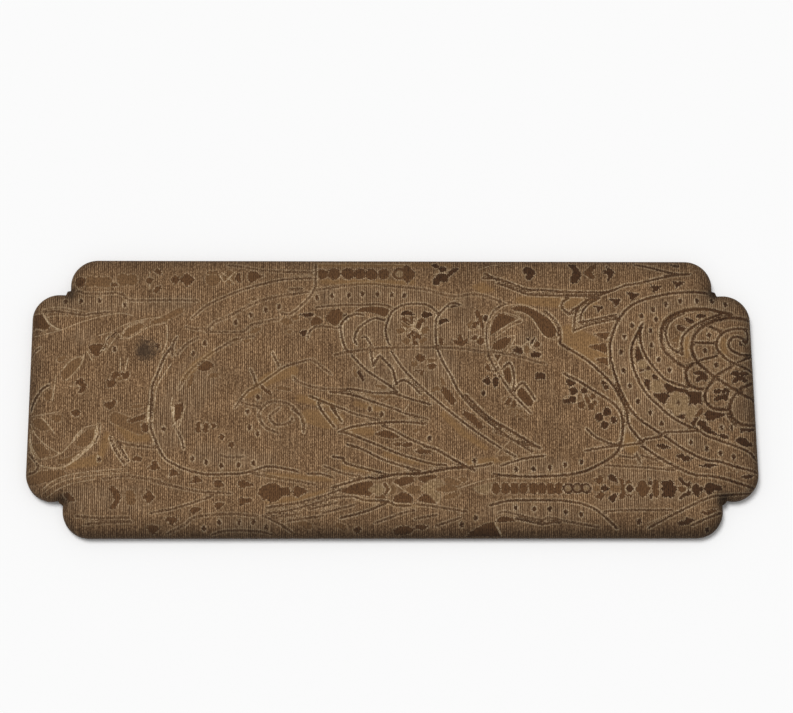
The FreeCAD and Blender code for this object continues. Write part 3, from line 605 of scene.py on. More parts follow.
# A figure is a shape with straight sides, whose corners are listed (x, y), or a chain of round dabs
# (x, y, radius) with tapers between. Each belongs to one of four tones of the weave.
SHAPES = {
    "dark": (
        # right-hand end: hearts, leaves of the bands and cells, the crescent's filling, the front band
        (98.3, 45.5, 102.6, 45, 100.1, 42.4, 100.4, 44.2),
        (106, 49.5, 111.6, 48.8, 108.9, 45.3, 108.6, 47.2),
        (114.6, 52.6, 120.5, 51.8, 117.2, 48.7, 116.2, 50.9),
        (126.6, 56.4, 131.8, 55.6, 127.8, 53, 128.4, 54.8),
        (137.8, 58.2, 142.9, 57.9, 139, 55.1, 139.4, 57), (136.8, 67.6, 141, 66.8, 140.5, 66, 138.5, 66.4),
        (105.1, 66.8, 108.9, 63.2, 105.5, 58.6, 106.2, 62.2, 103.2, 63.3, 105.9, 64.4),
        (86.4, 67.3, 89.1, 67.3, 90.9, 65.5, 92.3, 62.7, 91.8, 60.2, 90.5, 58.2, 88.2, 57.5, 87.3, 58.2,
         87.7, 60.5, 89.1, 62.5, 89.3, 64.1, 88.2, 65.5),
        (126.3, -25.5, 129, -25.2, 132.8, -26.6, 130.4, -26.7, 129.4, -27.6, 128.2, -26.3, 126.8, -26.5),
        (135.5, -31.1, 136.3, -30.4, 138.5, -30, 139.4, -31.1, 143.2, -31.8, 140.9, -33, 139, -33.3,
         138, -32, 136.6, -31.7),
        (146.3, -35.9, 149, -35.6, 149.9, -34.9, 151.8, -34.7, 154.7, -35.6, 152.3, -35.9, 151.1, -36.8,
         149, -36.1), (146.1, -14.4, 147.5, -13, 150.1, -13.7, 150.6, -15.1, 148.5, -16.3, 146.6, -15.6),
        (143.2, -14.7, 145.6, -12, 147, -11.8, 146.1, -13.2, 145.4, -15.6, 144.7, -16.3),
        (149.9, -10.1, 152.3, -8, 155.6, -9, 159.9, -9.7, 159.9, -10.4, 155.6, -11.8, 153.7, -12.8,
         151.1, -12.4),
        (147.5, -17, 149.4, -15.9, 151.1, -15.9, 152.5, -17.3, 152.3, -18.2, 154.9, -19.4, 155.1, -20.4,
         149.4, -18.7), (156.1, -20.4, 158.5, -20.1, 160.9, -21.3, 160.4, -22.3, 157.5, -21.6),
        (167.3, -17, 174, -17, 174, -18, 168, -18.2, 167.6, -19.2, 167, -18.7),
        (164.4, -23.2, 165.9, -21.8, 167.5, -21.8, 169.4, -22.5, 169.9, -23.7, 172.3, -24.7, 172.3, -25.6,
         168, -25.9), (166.4, -41.2, 169.8, -40.3, 172, -40.9, 169.8, -41.7, 167, -41.7),
        (138.6, 35.6, 141.2, 34.9, 143, 34.2, 141.8, 32.4, 139, 33.6),
        (142.6, 39.2, 144.2, 39.6, 147, 37.4, 145.8, 36.6),
        (98.8, -47, 100.3, -45.3, 102.3, -47, 100.3, -48.6),
        (102.2, -41.7, 103.1, -40.4, 104.8, -40.4, 107, -43.9, 103.9, -43.1),
        (102, -52.3, 103.9, -50.3, 106.6, -49.9, 105.3, -51.4, 105.1, -53.1, 103.9, -53.7),
        (122, -42, 122.8, -43.7, 123.1, -45.1, 122.3, -45.3),
        (122, -50, 122.8, -49.8, 122.6, -52.3, 122, -51.4),
        (127.6, -47.3, 128.9, -46.2, 127.8, -44.5, 128.7, -43.6, 130.3, -43.9, 132, -43.1, 133.4, -43.9,
         133.1, -45.3, 134.5, -46.7, 134.5, -48.4, 133.1, -48.9, 133.4, -50.3, 132, -51.6, 130.3, -50.6,
         128.7, -51.2, 127.8, -50.3, 128.9, -48.4),
        (140.1, -44.5, 141.2, -43.7, 141.7, -45.1, 140.9, -47, 141.7, -48.9, 140.3, -50.9, 139.5, -49.5,
         140.6, -47.3, 139.8, -45.9),
        (142.3, -47.3, 143.4, -45.3, 144.5, -44.8, 145.3, -45.9, 144.8, -46.7, 146.7, -46.2, 147.6, -47.3,
         146.7, -48.7, 144.8, -48.1, 145.3, -49.8, 144.5, -50.9, 143.1, -49.5),
        (148.4, -47, 148.9, -45.3, 150.9, -44.5, 152.8, -45.2, 155.1, -45.6, 156.2, -46.4, 155.6, -47.6,
         152.8, -47.6, 152, -48.7, 150.1, -50.3, 148.9, -48.9),
        (134.8, -64.2, 136.4, -63.1, 138.4, -63.6, 138.7, -61.4, 140.3, -62, 142.8, -62.8, 138.7, -64.5,
         135.9, -64.8), (115.3, -62.6, 117, -62, 117, -63.9, 115.9, -64.8),
        (83.8, 6.5, 85, 8.2, 87, 8, 88.3, 6.3, 87, 4.9, 85, 4.6),
        (85.2, 2.5, 86.3, 3.6, 88, 3, 88.8, 1.5, 87.5, 0.2, 86, 0.3),
        (90.7, 2, 92, 4, 93.8, 3.2, 93.2, 1.2, 91.5, 0.9),
        (85.5, -1, 87.8, -1.2, 88, -3.2, 86.5, -4, 85, -2.8),
        (82.3, -2.2, 84.6, -2.5, 84.8, -3.8, 82.5, -4),
        (118.6, 24.5, 120.6, 23, 121.5, 18.5, 120.8, 17.2, 118.2, 17, 117.9, 20),
        (119.3, 13.8, 121.3, 13.4, 121.6, 12, 119.8, 11.8),
        (122.5, 14.7, 124.2, 14.2, 124.2, 12.4, 122.8, 12.2),
        (125.7, 10, 127.2, 9.6, 128.2, 7.8, 127.4, 7.3, 125.9, 8.2),
        (121.7, 7.4, 122.8, 8, 124.1, 6.5, 124.3, 3.2, 123.2, 2.4, 122.4, 4.4),
        (131.5, 5.4, 133, 5.8, 136.5, 3.4, 141.7, 2.8, 142.5, 1.4, 149.2, 1.4, 149.4, -1.5, 148.6, -4.8,
         147, -3.4, 145.6, -5.5, 144.4, -3.6, 142.8, -5.3, 142.9, -2.2, 141.6, 1.3, 136, 1.5, 133, 1,
         131.8, 3),
        (125.4, 0.6, 128, 0.3, 131.5, 0.6, 133.2, -1, 131.5, -2.5, 131, -4.6, 128.5, -3, 126.5, -1),
        (132.4, -6.7, 134.1, -8.7, 136.4, -9.9, 138.6, -10.1, 140.3, -10.4, 139.6, -12.3, 136.7, -11.3,
         133.8, -9.2),
        # middle: flowers, scallop fillings and figures of the back band
        (64.5, 65, 65.5, 65.7, 67.7, 65.5, 69.1, 64.3, 70, 62.7, 68.6, 60.9, 66.8, 59.1, 65.5, 60.2,
         66.8, 62.5, 65.9, 63.2, 64.8, 62.5, 64.3, 63.6), (65, 28.6, 66.4, 29.1, 65.9, 27.3),
        (66.8, 26.4, 69.1, 29.1, 69.5, 28.2, 67.7, 25.9), (44.5, 38, 46.4, 38, 46, 40.4, 44.9, 40.4),
        (69, 8.2, 73.5, 8.2, 73, 10.6, 69.5, 10.9), (43.4, 7.3, 45.9, 9.1, 46.8, 6.8, 45.9, 5, 44.5, 5.5),
        (48.2, 7.7, 49.5, 8.6, 51.4, 8.2, 50.5, 6.8, 49.5, 3.6, 48.6, 5),
        (19.7, 67.5, 21.9, 67.5, 22.8, 65.9, 21.3, 65.3, 20, 66.3),
        (22.5, 65.3, 25.6, 65.9, 26.6, 64.4, 23.8, 63.4),
        (20, 58.4, 21.3, 60.6, 23.1, 62.2, 25.6, 61.9, 26.9, 60, 26.6, 58.4, 25, 58.4, 23.8, 59.7,
         22.8, 57.8, 22.5, 56.6, 20.6, 56.9),
        (26.9, 61.9, 28.1, 63.8, 30.6, 65, 32.5, 65, 30, 63.1, 27.8, 60.9),
        (4.1, 40.6, 5, 42.5, 8.1, 42.8, 10.6, 40.9, 6.9, 41.3),
        (14.1, 40.6, 15.6, 42.5, 18.1, 41.9, 19.4, 40.9, 15.6, 39.4),
        (27.5, 45, 29.4, 46.6, 32.5, 46.6, 31.9, 45.6),
        (22.2, 36.3, 23.1, 38.1, 25.6, 38.8, 27.5, 37.5, 25, 37.5, 23.1, 35.6),
        (-45, 31.9, -41.9, 32.5, -41.3, 31.3, -43.8, 30),
        (-45, 40.9, -39.4, 41.6, -38.1, 40.6, -41.9, 39.7),
        (58.1, 22.9, 59.5, 22.7, 60, 24.2, 61, 23, 62.4, 23.6, 62.7, 21.5, 61.4, 20.4, 59.6, 21.1),
        (66.9, 20.5, 68.1, 20.6, 68.8, 22, 69.7, 20.9, 71.4, 21.3, 71.7, 19.7, 70, 19.1, 67.8, 19.2),
    ),
    "umber": (
        # right-hand end: teeth beside the great paisley, and ovals and figures of the front band
        (95.6, -42.3, 97.6, -42.3, 98.1, -40.6, 98.9, -40.9, 99.8, -42.6, 98.7, -44.2, 97.6, -44.8,
         96.4, -43.1), (95.6, -50.9, 97.3, -49.8, 98.9, -48.4, 99.8, -50.3, 98.2, -52.8, 97.6, -52),
        (107.6, -42.3, 108.7, -42, 109.5, -43.1, 109.2, -44.8, 110.3, -46.2, 110, -49.8, 108.9, -52,
         107.4, -52, 107.3, -50.3, 108.7, -49.8, 108.7, -45.3),
        (110.6, -44.5, 112, -43.1, 113.4, -43.9, 113.4, -45.3, 112, -44.5),
        (110.6, -50.1, 112, -50.9, 112.8, -51.7, 113.4, -50.3),
        (115.1, -47.3, 116.4, -45.9, 117.3, -43.7, 118.7, -43.2, 120.1, -44.2, 120.6, -45.9, 122, -47,
         120.9, -48.9, 120.3, -50.3, 118.7, -51.2, 117.3, -50.6, 117, -49.2, 115.6, -48.1),
        (123.1, -45.3, 123.9, -43.4, 125.3, -43.1, 126.4, -44.8, 126.2, -46.7, 125.3, -47, 126.2, -48.7,
         125.9, -50.6, 124.8, -51.7, 122.8, -49.5, 123.7, -47.3),
        (135.6, -45.9, 137.3, -46.2, 139.5, -47.3, 138.7, -48.4, 137.3, -48.8, 135.9, -48.1),
        (145.9, -58.9, 147.3, -57.8, 148.1, -59.2, 150.3, -57.8, 154.2, -57.3, 150.3, -59.8, 148.7, -60.1),
        (145, -11.6, 146.8, -8.6, 149.2, -6.8, 148.4, -9.6, 146.6, -12.4, 144.7, -13.4),
        (93.9, 62.8, 97, 66, 99.8, 67.8, 100.3, 66.8, 97.6, 63, 99, 61, 98.4, 59.6, 96.6, 60.4),
        (98.4, 31.1, 105.5, 31.6, 104, 28.4), (95.6, 24.7, 103.3, 26, 104.2, 21.1),
        (98.4, 18.2, 104.7, 18.6, 105.6, 14.2),
        # middle: comma leaf and the leaves about it, petals, and the lattice at the front
        (58.2, 44.1, 60, 45.2, 64.1, 45.2, 67.3, 44.1, 70.9, 42.3, 76.4, 38.2, 78.2, 35.5, 79.5, 32.7,
         79.5, 30.9, 77.7, 29.5, 75.5, 29.5, 73.6, 30.5, 71.8, 33.6, 68.2, 39.5, 65.5, 41.4, 61.8, 43),
        (47.7, 30.5, 48.2, 34.5, 50, 39.1, 52.3, 41.4, 55, 40.9, 60, 38.6, 55, 35.5, 51.8, 33.6,
         49.1, 30.9), (53.2, 11.4, 55.5, 14.1, 56.8, 12.7, 57.3, 8.2, 57.1, 4.9, 56.1, 2.5, 54.5, 7.2),
        (60, 1, 61.9, 3.4, 63, 2.7, 65, -0.4, 67.3, -3.2, 66.4, -5.6, 64.5, -5.6, 60.7, -1.8),
        (48.6, 20, 52.3, 20, 50.9, 17.7, 49.8, 18.2),
        (48.5, -62.8, 50.5, -61.5, 53, -61.1, 58, -62, 66.5, -64, 58, -62.6, 54, -63, 50.5, -63.4),
        (-9, -51.5, -6.2, -49.8, -3.8, -51.5, -4.4, -52.7, -8.5, -52),
        (-0.3, -53.3, 0.6, -51.2, 3.2, -49.5, 5.6, -49.2, 8.5, -51.2, 8.2, -53.9, 5, -53.9),
        (-8.5, -19.8, -5.5, -18.5, -2.5, -18.5, 1.5, -20, 3, -21.5, -1, -22, -5, -21.3),
        (17, 15, 20, 15.8, 20.8, 14.3, 19, 13, 17.3, 13.3), (10.5, 12, 15, 12.3, 14.5, 11.5),
        (48.4, 23.6, 49.1, 25.9, 51.4, 27.7, 54.5, 28.9, 56.8, 28.9, 57.3, 28.2, 55.5, 25.5, 53.6, 23.6,
         50.9, 22.7), (24, 4, 27.5, 1.5, 30, -3.5, 28.5, -5.5, 25.5, -2, 23.6, 1.4),
        (34, -8, 38.5, -10.5, 43.5, -16.5, 41, -17, 36.5, -13, 34, -10.2),
        (-18.1, 42.5, -15, 44.4, -10, 45, -5, 44.4, -1.9, 43.4, -2.5, 40.9, -4.4, 40.3, -7.5, 41.6,
         -11.3, 42.5),
        (-32.5, 39.4, -30, 42.5, -26.3, 43.8, -25.3, 41.9, -23.1, 40, -23.1, 38.1, -25, 35.6, -28.8, 35.6,
         -31.3, 37.5), (-39.7, 36.9, -38.1, 39.4, -35.6, 39.4, -34.4, 36.9, -37.5, 35, -39.4, 35.3),
        (4.4, 64.4, 6.9, 66.9, 10.6, 63.1, 10.3, 60.6, 8.1, 58.8, 7.5, 57.2, 5.3, 60, 5.9, 62.5),
        (-27.4, -48.3, -23.2, -47.4, -19.7, -45.4, -15.6, -44.2, -11.5, -43.6, -9.7, -44.8, -11.2, -47.4,
         -10.3, -49.5, -12, -50.6, -15.6, -50, -20.3, -49.8, -24.4, -48.6),
        (0, -44.2, 1.5, -42.7, 5.6, -41.2, 9.1, -41.2, 9.4, -43.3, 5.6, -45.1, 3.2, -45.6, 2, -45),
        (11.8, -42.1, 13.8, -40.6, 20.3, -40.6, 19.1, -42.1, 17.4, -43, 15.6, -44.5, 14.4, -43.6),
        (10.9, 35.4, 11.6, 38.8, 12.5, 37, 13.8, 38.2, 14.2, 35.6, 12.8, 33.8, 11.6, 34.1),
        (8, 30.7, 9.5, 29.4, 10.8, 30.4, 12.7, 31.6, 12.1, 29.4, 10.4, 28, 8.7, 28.7),
        (9.3, 27.3, 10.7, 27.7, 12.3, 26.1, 11.2, 25.1, 9.9, 25.9),
        (29, 28.2, 30.4, 27.7, 31.6, 27.2, 31.8, 29.3, 32.8, 30.9, 33.6, 29.2, 33.7, 27.2, 35, 27.6,
         36.6, 28.4, 35.8, 26.6, 34.2, 25.3, 32.6, 24.9, 30.7, 25.7),
        (38.4, 29.7, 39.6, 29.4, 40.2, 30.6, 41.1, 29.3, 40.4, 27.9, 38.9, 28.2),
        (40.6, 27.1, 42.1, 27.9, 42.4, 29.6, 43.6, 28.6, 45.1, 28.3, 44.4, 26.6, 43, 25.8, 41.6, 26),
        (67.6, 26.2, 69.2, 26, 69.6, 27.5, 70.8, 26.3, 72, 25.8, 70.7, 24.6, 69, 24.7),
        (10.7, 18.8, 11.9, 19.4, 12.7, 20.7, 13.9, 19.6, 15.4, 19.7, 15.3, 17.8, 14, 16.7, 12.3, 17.5),
        (34, -70.5, 37.5, -67.5, 42, -65.2, 45.5, -64, 47.8, -64.4, 49.3, -67, 50.4, -70.5),
        (11.2, -52.7, 13.8, -50.4, 16.2, -49.8, 17.9, -51.2, 20.3, -54.2, 16.2, -53.9),
        (-0.3, -67.4, 2, -65.9, 5.6, -65.6, 9.1, -66.8, 7.9, -68.6, 0.9, -69.2),
        (9.7, -66.2, 11.5, -65, 16.2, -65.6, 13.8, -66.8),
        (-19.1, -66.8, -16.8, -65.6, -15.5, -66.8, -18, -68.6),
        (0, -25, 2, -24.3, 3.8, -24.5, 3, -25.8, 1, -25.8),
        (4, -25.5, 6.5, -24.3, 9, -24.5, 8.5, -25.8, 5, -26.3),
        (10, -28.3, 14, -27.2, 18.3, -28.7, 17.5, -29.7, 12.5, -29.3),
        (-47.7, -47.4, -46.3, -46.1, -43.6, -46.9, -41.3, -48.3, -45.8, -51.3, -47.4, -50.2),
        # left-hand side: lattice at the back, hearts in rows at the front
        (-76.6, 60, -75.5, 61.9, -74.1, 62.2, -74.7, 60, -73.6, 58.1, -75.2, 57.8),
        (-70.5, 61.7, -68.6, 63.6, -66.6, 62.8, -65.5, 61.4, -62.7, 61.1, -66.3, 59.4, -67.4, 58.1,
         -69.4, 57.8, -70.2, 59.4),
        (-153, 5.5, -151, 7.5, -149.5, 8, -149, 6, -147.5, 4.5, -148, 2, -150, 0.5, -151, 1, -149.5, 3.5,
         -151, 5), (-137.5, 7.5, -136.5, 6.5, -135, 7, -133.5, 5.5, -134.5, 4, -137, 3.5),
        (-139, -4, -137, -5, -136.3, -3.5, -135.5, -4.5, -134, -2.5, -132.8, -4.5, -136, -7.5, -138, -6),
        (-154, -9, -151.5, -8, -150, -9.5, -151, -11, -153.5, -10.5),
        (-127, -13.5, -124, -12, -119, -10, -119, -12, -125, -14),
        (-120.5, -15.5, -118.5, -14.5, -117.3, -16, -117.5, -19, -119.5, -18.5),
        (-124, -32.5, -122.5, -31, -120.5, -32, -120.5, -33.3, -123.5, -33.3),
        (-156.5, -49.5, -154, -49, -151, -53, -154, -53),
        (-94.1, 14.8, -91.3, 17, -88.6, 16.4, -86.9, 14.8, -89.1, 12.6, -91.9, 12, -94.1, 13.1),
        (-104.7, -5.2, -101.3, -4.7, -100.8, -6.9, -103, -12.4, -104.1, -13.6, -104.9, -9.1),
        (-116.5, 63.5, -114.5, 64.5, -113, 63.5, -112.8, 61.8, -114.5, 62),
        (-120, 58.5, -118.8, 59.8, -116.8, 59, -118.8, 56.8),
        (-116.3, 53.5, -115, 55, -113, 55.8, -113, 54.5, -114.5, 52.5, -116, 52.3),
        (-115, 25.5, -112.5, 25.3, -113.5, 23),
        (-154, 59.3, -151.5, 60, -150.3, 59.5, -150, 58, -150.8, 55.5, -153, 55, -154.5, 57),
        (-174.3, 40.5, -170.5, 40.5, -168.5, 38, -166, 35, -168, 33, -172, 34, -174, 33),
        (-116.9, -36.9, -114.7, -35.8, -114.9, -33.6, -113.3, -33.6, -112.2, -35.8, -111.3, -36.9,
         -113.6, -37.7),
        (-106.9, -41.3, -105.5, -39.4, -106.1, -38, -104.7, -37.4, -103.3, -39.1, -101.9, -39.9,
         -104.1, -40.5),
        (-96.6, -44.1, -94.7, -42.7, -95.8, -41.1, -94.1, -41.3, -91.3, -43.3, -93.6, -44.1),
        (-85.2, -44.7, -84.7, -43, -83, -43.3, -80.5, -45.5, -82.4, -46.3, -84.7, -45.8),
        (-74.1, -44.9, -73.3, -43.6, -71.3, -43.3, -66.9, -45.6, -69.7, -45.8, -71.3, -46.6, -73, -46.3),
        (-73.6, -52.4, -72.4, -51.9, -67.4, -52.4, -68, -53.8, -70.8, -54.1, -72.4, -55.2),
        (-84.9, -54.9, -83.6, -54.1, -80.5, -54.4, -83.6, -57.4),
        (-96.6, -58, -94.7, -56.3, -91.3, -57.2, -94.7, -59.4),
        (-108.3, -61.6, -105.2, -61.3, -102.2, -61.9, -104.7, -64.9),
        (-116.9, -65.8, -114.7, -64.9, -110.8, -65.8, -113.6, -69.4),
        (-119.3, -51, -117, -50, -117.3, -47.5, -115.5, -49, -113.5, -51.3, -115, -52.8, -116.5, -54.5,
         -117.3, -52.5), (-103.8, 58.9, -100.5, 62.2, -96.6, 59.2, -98.8, 56.7, -100.2, 55.6, -101.9, 57.5),
        (-108, 59.2, -106, 61.1, -104.4, 59.4, -105.5, 56.7, -106.9, 57.8),
        (-135.5, 9.3, -134.5, 11, -133, 11, -131, 10, -133, 9, -134.5, 7.5),
        (-130.8, 11.5, -129.8, 10, -127.5, 11.5, -127, 9.5, -128.5, 7.5, -129.5, 8, -130, 9.3),
        (-134.8, -46.5, -133.5, -46, -131.5, -47.5, -130, -49.5, -129.5, -52, -130.5, -54.5, -132, -56.5,
         -134, -57, -132, -52.5, -132.8, -50),
        (-146.8, 24.5, -143, 25.3, -140, 25, -140.3, 23, -142, 20, -144, 19.5, -146, 22),
        (-64.4, -49.7, -63.3, -47.2, -61.9, -45.8, -59.1, -44.7, -56.9, -44.7, -54.7, -45.5, -53.6, -46.9,
         -50.2, -46.9, -49.4, -48.6, -50.2, -50.2, -53.6, -50.2, -54.1, -51.9, -56.3, -53.3, -58.6, -53.8,
         -59.7, -52.4, -61.9, -52.4, -63, -50.8),
    ),
    "brown": (
        # right-hand end
        (94.8, -46.2, 96.4, -45.6, 98.4, -46.2, 98.6, -47.6, 97, -48.4, 95.3, -47.8),
        (103.1, -46.2, 105.1, -45.6, 108.7, -46.4, 108.7, -48.4, 107, -48.9, 103.1, -47.8),
        (158.7, -38.5, 160.4, -37.8, 164.2, -38.7, 160.4, -38.5),
        # middle: paler petals, and leaves of the lattice
        (49.2, -31.3, 63, -30.9, 69.7, -30.4, 72.6, -30.6, 65.4, -31.8, 58.3, -33, 51.1, -33),
        (-19, 14, -17, 10.5, -17.5, 9, -19, 10.5), (-8.5, 5, -5, 4.5, -2.5, 3.5, -5, 3, -8, 4),
        (-17, 0.8, -12, 0.8, -4, -1, -7, -1.8, -12, -0.6),
        (-1.2, -45.6, 0.9, -46.8, 0.3, -48.9, -1.5, -49.8),
        (5.6, -47.4, 7.9, -45.6, 12.6, -46.2, 13.2, -47.4, 11.5, -49.5, 7.9, -49.5),
        (18.5, -47.1, 20.9, -45.9, 25.6, -45.4, 29.7, -46.8, 30.3, -47.7, 25.6, -48.6, 20.3, -48.3),
        (23.5, -43, 25.6, -41.8, 29.1, -42.7, 32, -44.5, 29.7, -45.4, 25.6, -44.5),
        (30.9, -42.1, 32.6, -41.5, 35.6, -42.7, 33.2, -43.9),
        (23.5, -50.9, 26.8, -49.8, 31.5, -49.5, 28.5, -51.5, 25, -52.1),
        (-49.1, 39.4, -47.4, 40.6, -45.8, 40, -46.3, 38.3, -48.6, 38.1),
        (17, 18, 19.5, 18.3, 20.5, 17, 17.5, 16),
        (1.8, 33.5, 3.2, 33, 4.2, 34.4, 5, 33, 6.8, 32.8, 5.4, 31.4, 3.6, 30.8, 2.3, 31.7),
        (4.5, 36.7, 5.8, 37.9, 6.9, 36.7, 9.1, 36.4, 9.4, 35, 7.4, 34.4, 5.4, 35),
        (13.7, 33.2, 15.1, 33.5, 16.5, 35.2, 17.9, 33.2, 16.6, 32.6, 16.3, 31.3, 14.5, 31.3),
        (4.7, 27.6, 6, 27.9, 6.6, 29.1, 8.3, 28.2, 7.8, 26.5, 6.2, 25.8, 5.1, 26.5),
        (12.7, 27.1, 14.1, 27.9, 14.6, 29.3, 16.5, 28.5, 15.3, 27.1, 13.6, 26.2),
        (36.1, 35.9, 37.3, 36.2, 38, 37.8, 39.4, 36.9, 40.6, 37.6, 41.7, 35.6, 40.9, 33.9, 38.4, 33.4,
         36.6, 34.3), (63.3, 22.9, 64.3, 23.3, 64.5, 24.8, 66, 24, 66, 21.9, 64.6, 21),
        (9, 16.6, 10.2, 16.2, 11, 17.2, 12.3, 15.6, 10.6, 14.4, 9.2, 15.1),
        # left-hand side
        (-91.3, 58.9, -90.5, 62.8, -85.8, 63.3, -84.4, 59.2, -85.2, 56.7, -87.4, 55.8, -90.2, 56.7),
        (-160, 10.5, -157, 15, -153, 18.5, -150.8, 18.5, -150.8, 15.5, -153, 11.5, -156, 8.5, -158.5, 7.5),
        (-167.8, -1.5, -166, 1, -164.3, 2.5, -164, -1, -165, -3.5), (-133.5, 8.5, -130, 9, -131.5, 6.8),
        (-117.5, 36.7, -110.8, 40, -105.2, 43.3, -102.4, 43.9, -101.9, 42.2, -108, 38.9, -114.7, 36.1),
        (-98, 8.7, -96.3, 9.8, -96.9, 5.3, -98.6, 3.7),
        (-89, 9.2, -87, 10.9, -84.5, 10.3, -84, 9, -87, 8.7),
        (-70.2, 48.6, -68, 49.4, -65.8, 49.2, -68, 48.3),
        (-54.7, 37.2, -53, 38.9, -50.2, 38.3, -48.8, 36.1, -51.3, 35.6),
        (-51.9, 31.7, -49.7, 32.8, -48.6, 31.7, -50.2, 31.1),
        (-69.1, 31.7, -66.3, 33.9, -64.1, 34.2, -64.7, 32.8, -67.4, 31.1),
        (-79.1, 27.2, -75.8, 28.6, -73.8, 27.8, -74.7, 26.7),
        (-73, 27.8, -70.8, 28.9, -68.8, 27.8, -70.8, 26.1),
        (-56.9, 3.1, -54.1, 4.2, -49.1, 2.8, -50.2, 2, -54.1, 2.6),
        (-142.4, -17.6, -146, -18.2, -149.2, -21, -151.5, -25.5, -148, -26.5, -144.2, -24.6, -142.4, -21),
        (-160, -33.4, -153.6, -31.6, -149, -28.8, -150.6, -30.6, -154.4, -34, -159, -35),
        (-172.4, -25.4, -168, -25, -164.4, -28.8, -164, -30.8, -168.4, -32.2, -171.4, -29.8),
        (-130.6, 30.2, -127.6, 33.8, -122.4, 36.2, -120.6, 34.6, -125, 31.6, -128.6, 29.5),
        (-173, -13, -169, -12.4, -166, -14.8, -165, -17.8, -168, -18, -171, -16.2),
        (-163.4, -10.8, -159, -10.6, -159, -13.6, -161.5, -13.8, -163.2, -12.6),
    ),
    "tan": (
        # right-hand end: fillings of the crescent
        (141, -8.8, 142.4, -6.6, 145.4, -6.2, 145.8, -8, 144.2, -10.8, 142.6, -12.4),
        (124.7, 5.6, 126.4, 7, 129, 6.4, 130, 4.6, 129.6, 2.2, 127.2, 1.4, 125, 2.4),
        # middle: the lattice
        (-11.4, -47.7, -7.4, -44.8, -4.4, -47.4, -7.4, -50.4),
        (13.2, -47.4, 17.4, -43.3, 21.5, -43.3, 23.2, -45, 19.7, -46.2, 18.8, -47.4, 19.7, -48.6,
         22, -50.4, 20.9, -53.9, 17.4, -49.8),
        (38.5, -47, 42, -46, 46, -44.5, 45.5, -48, 44, -49.5, 41, -49),
    ),
}
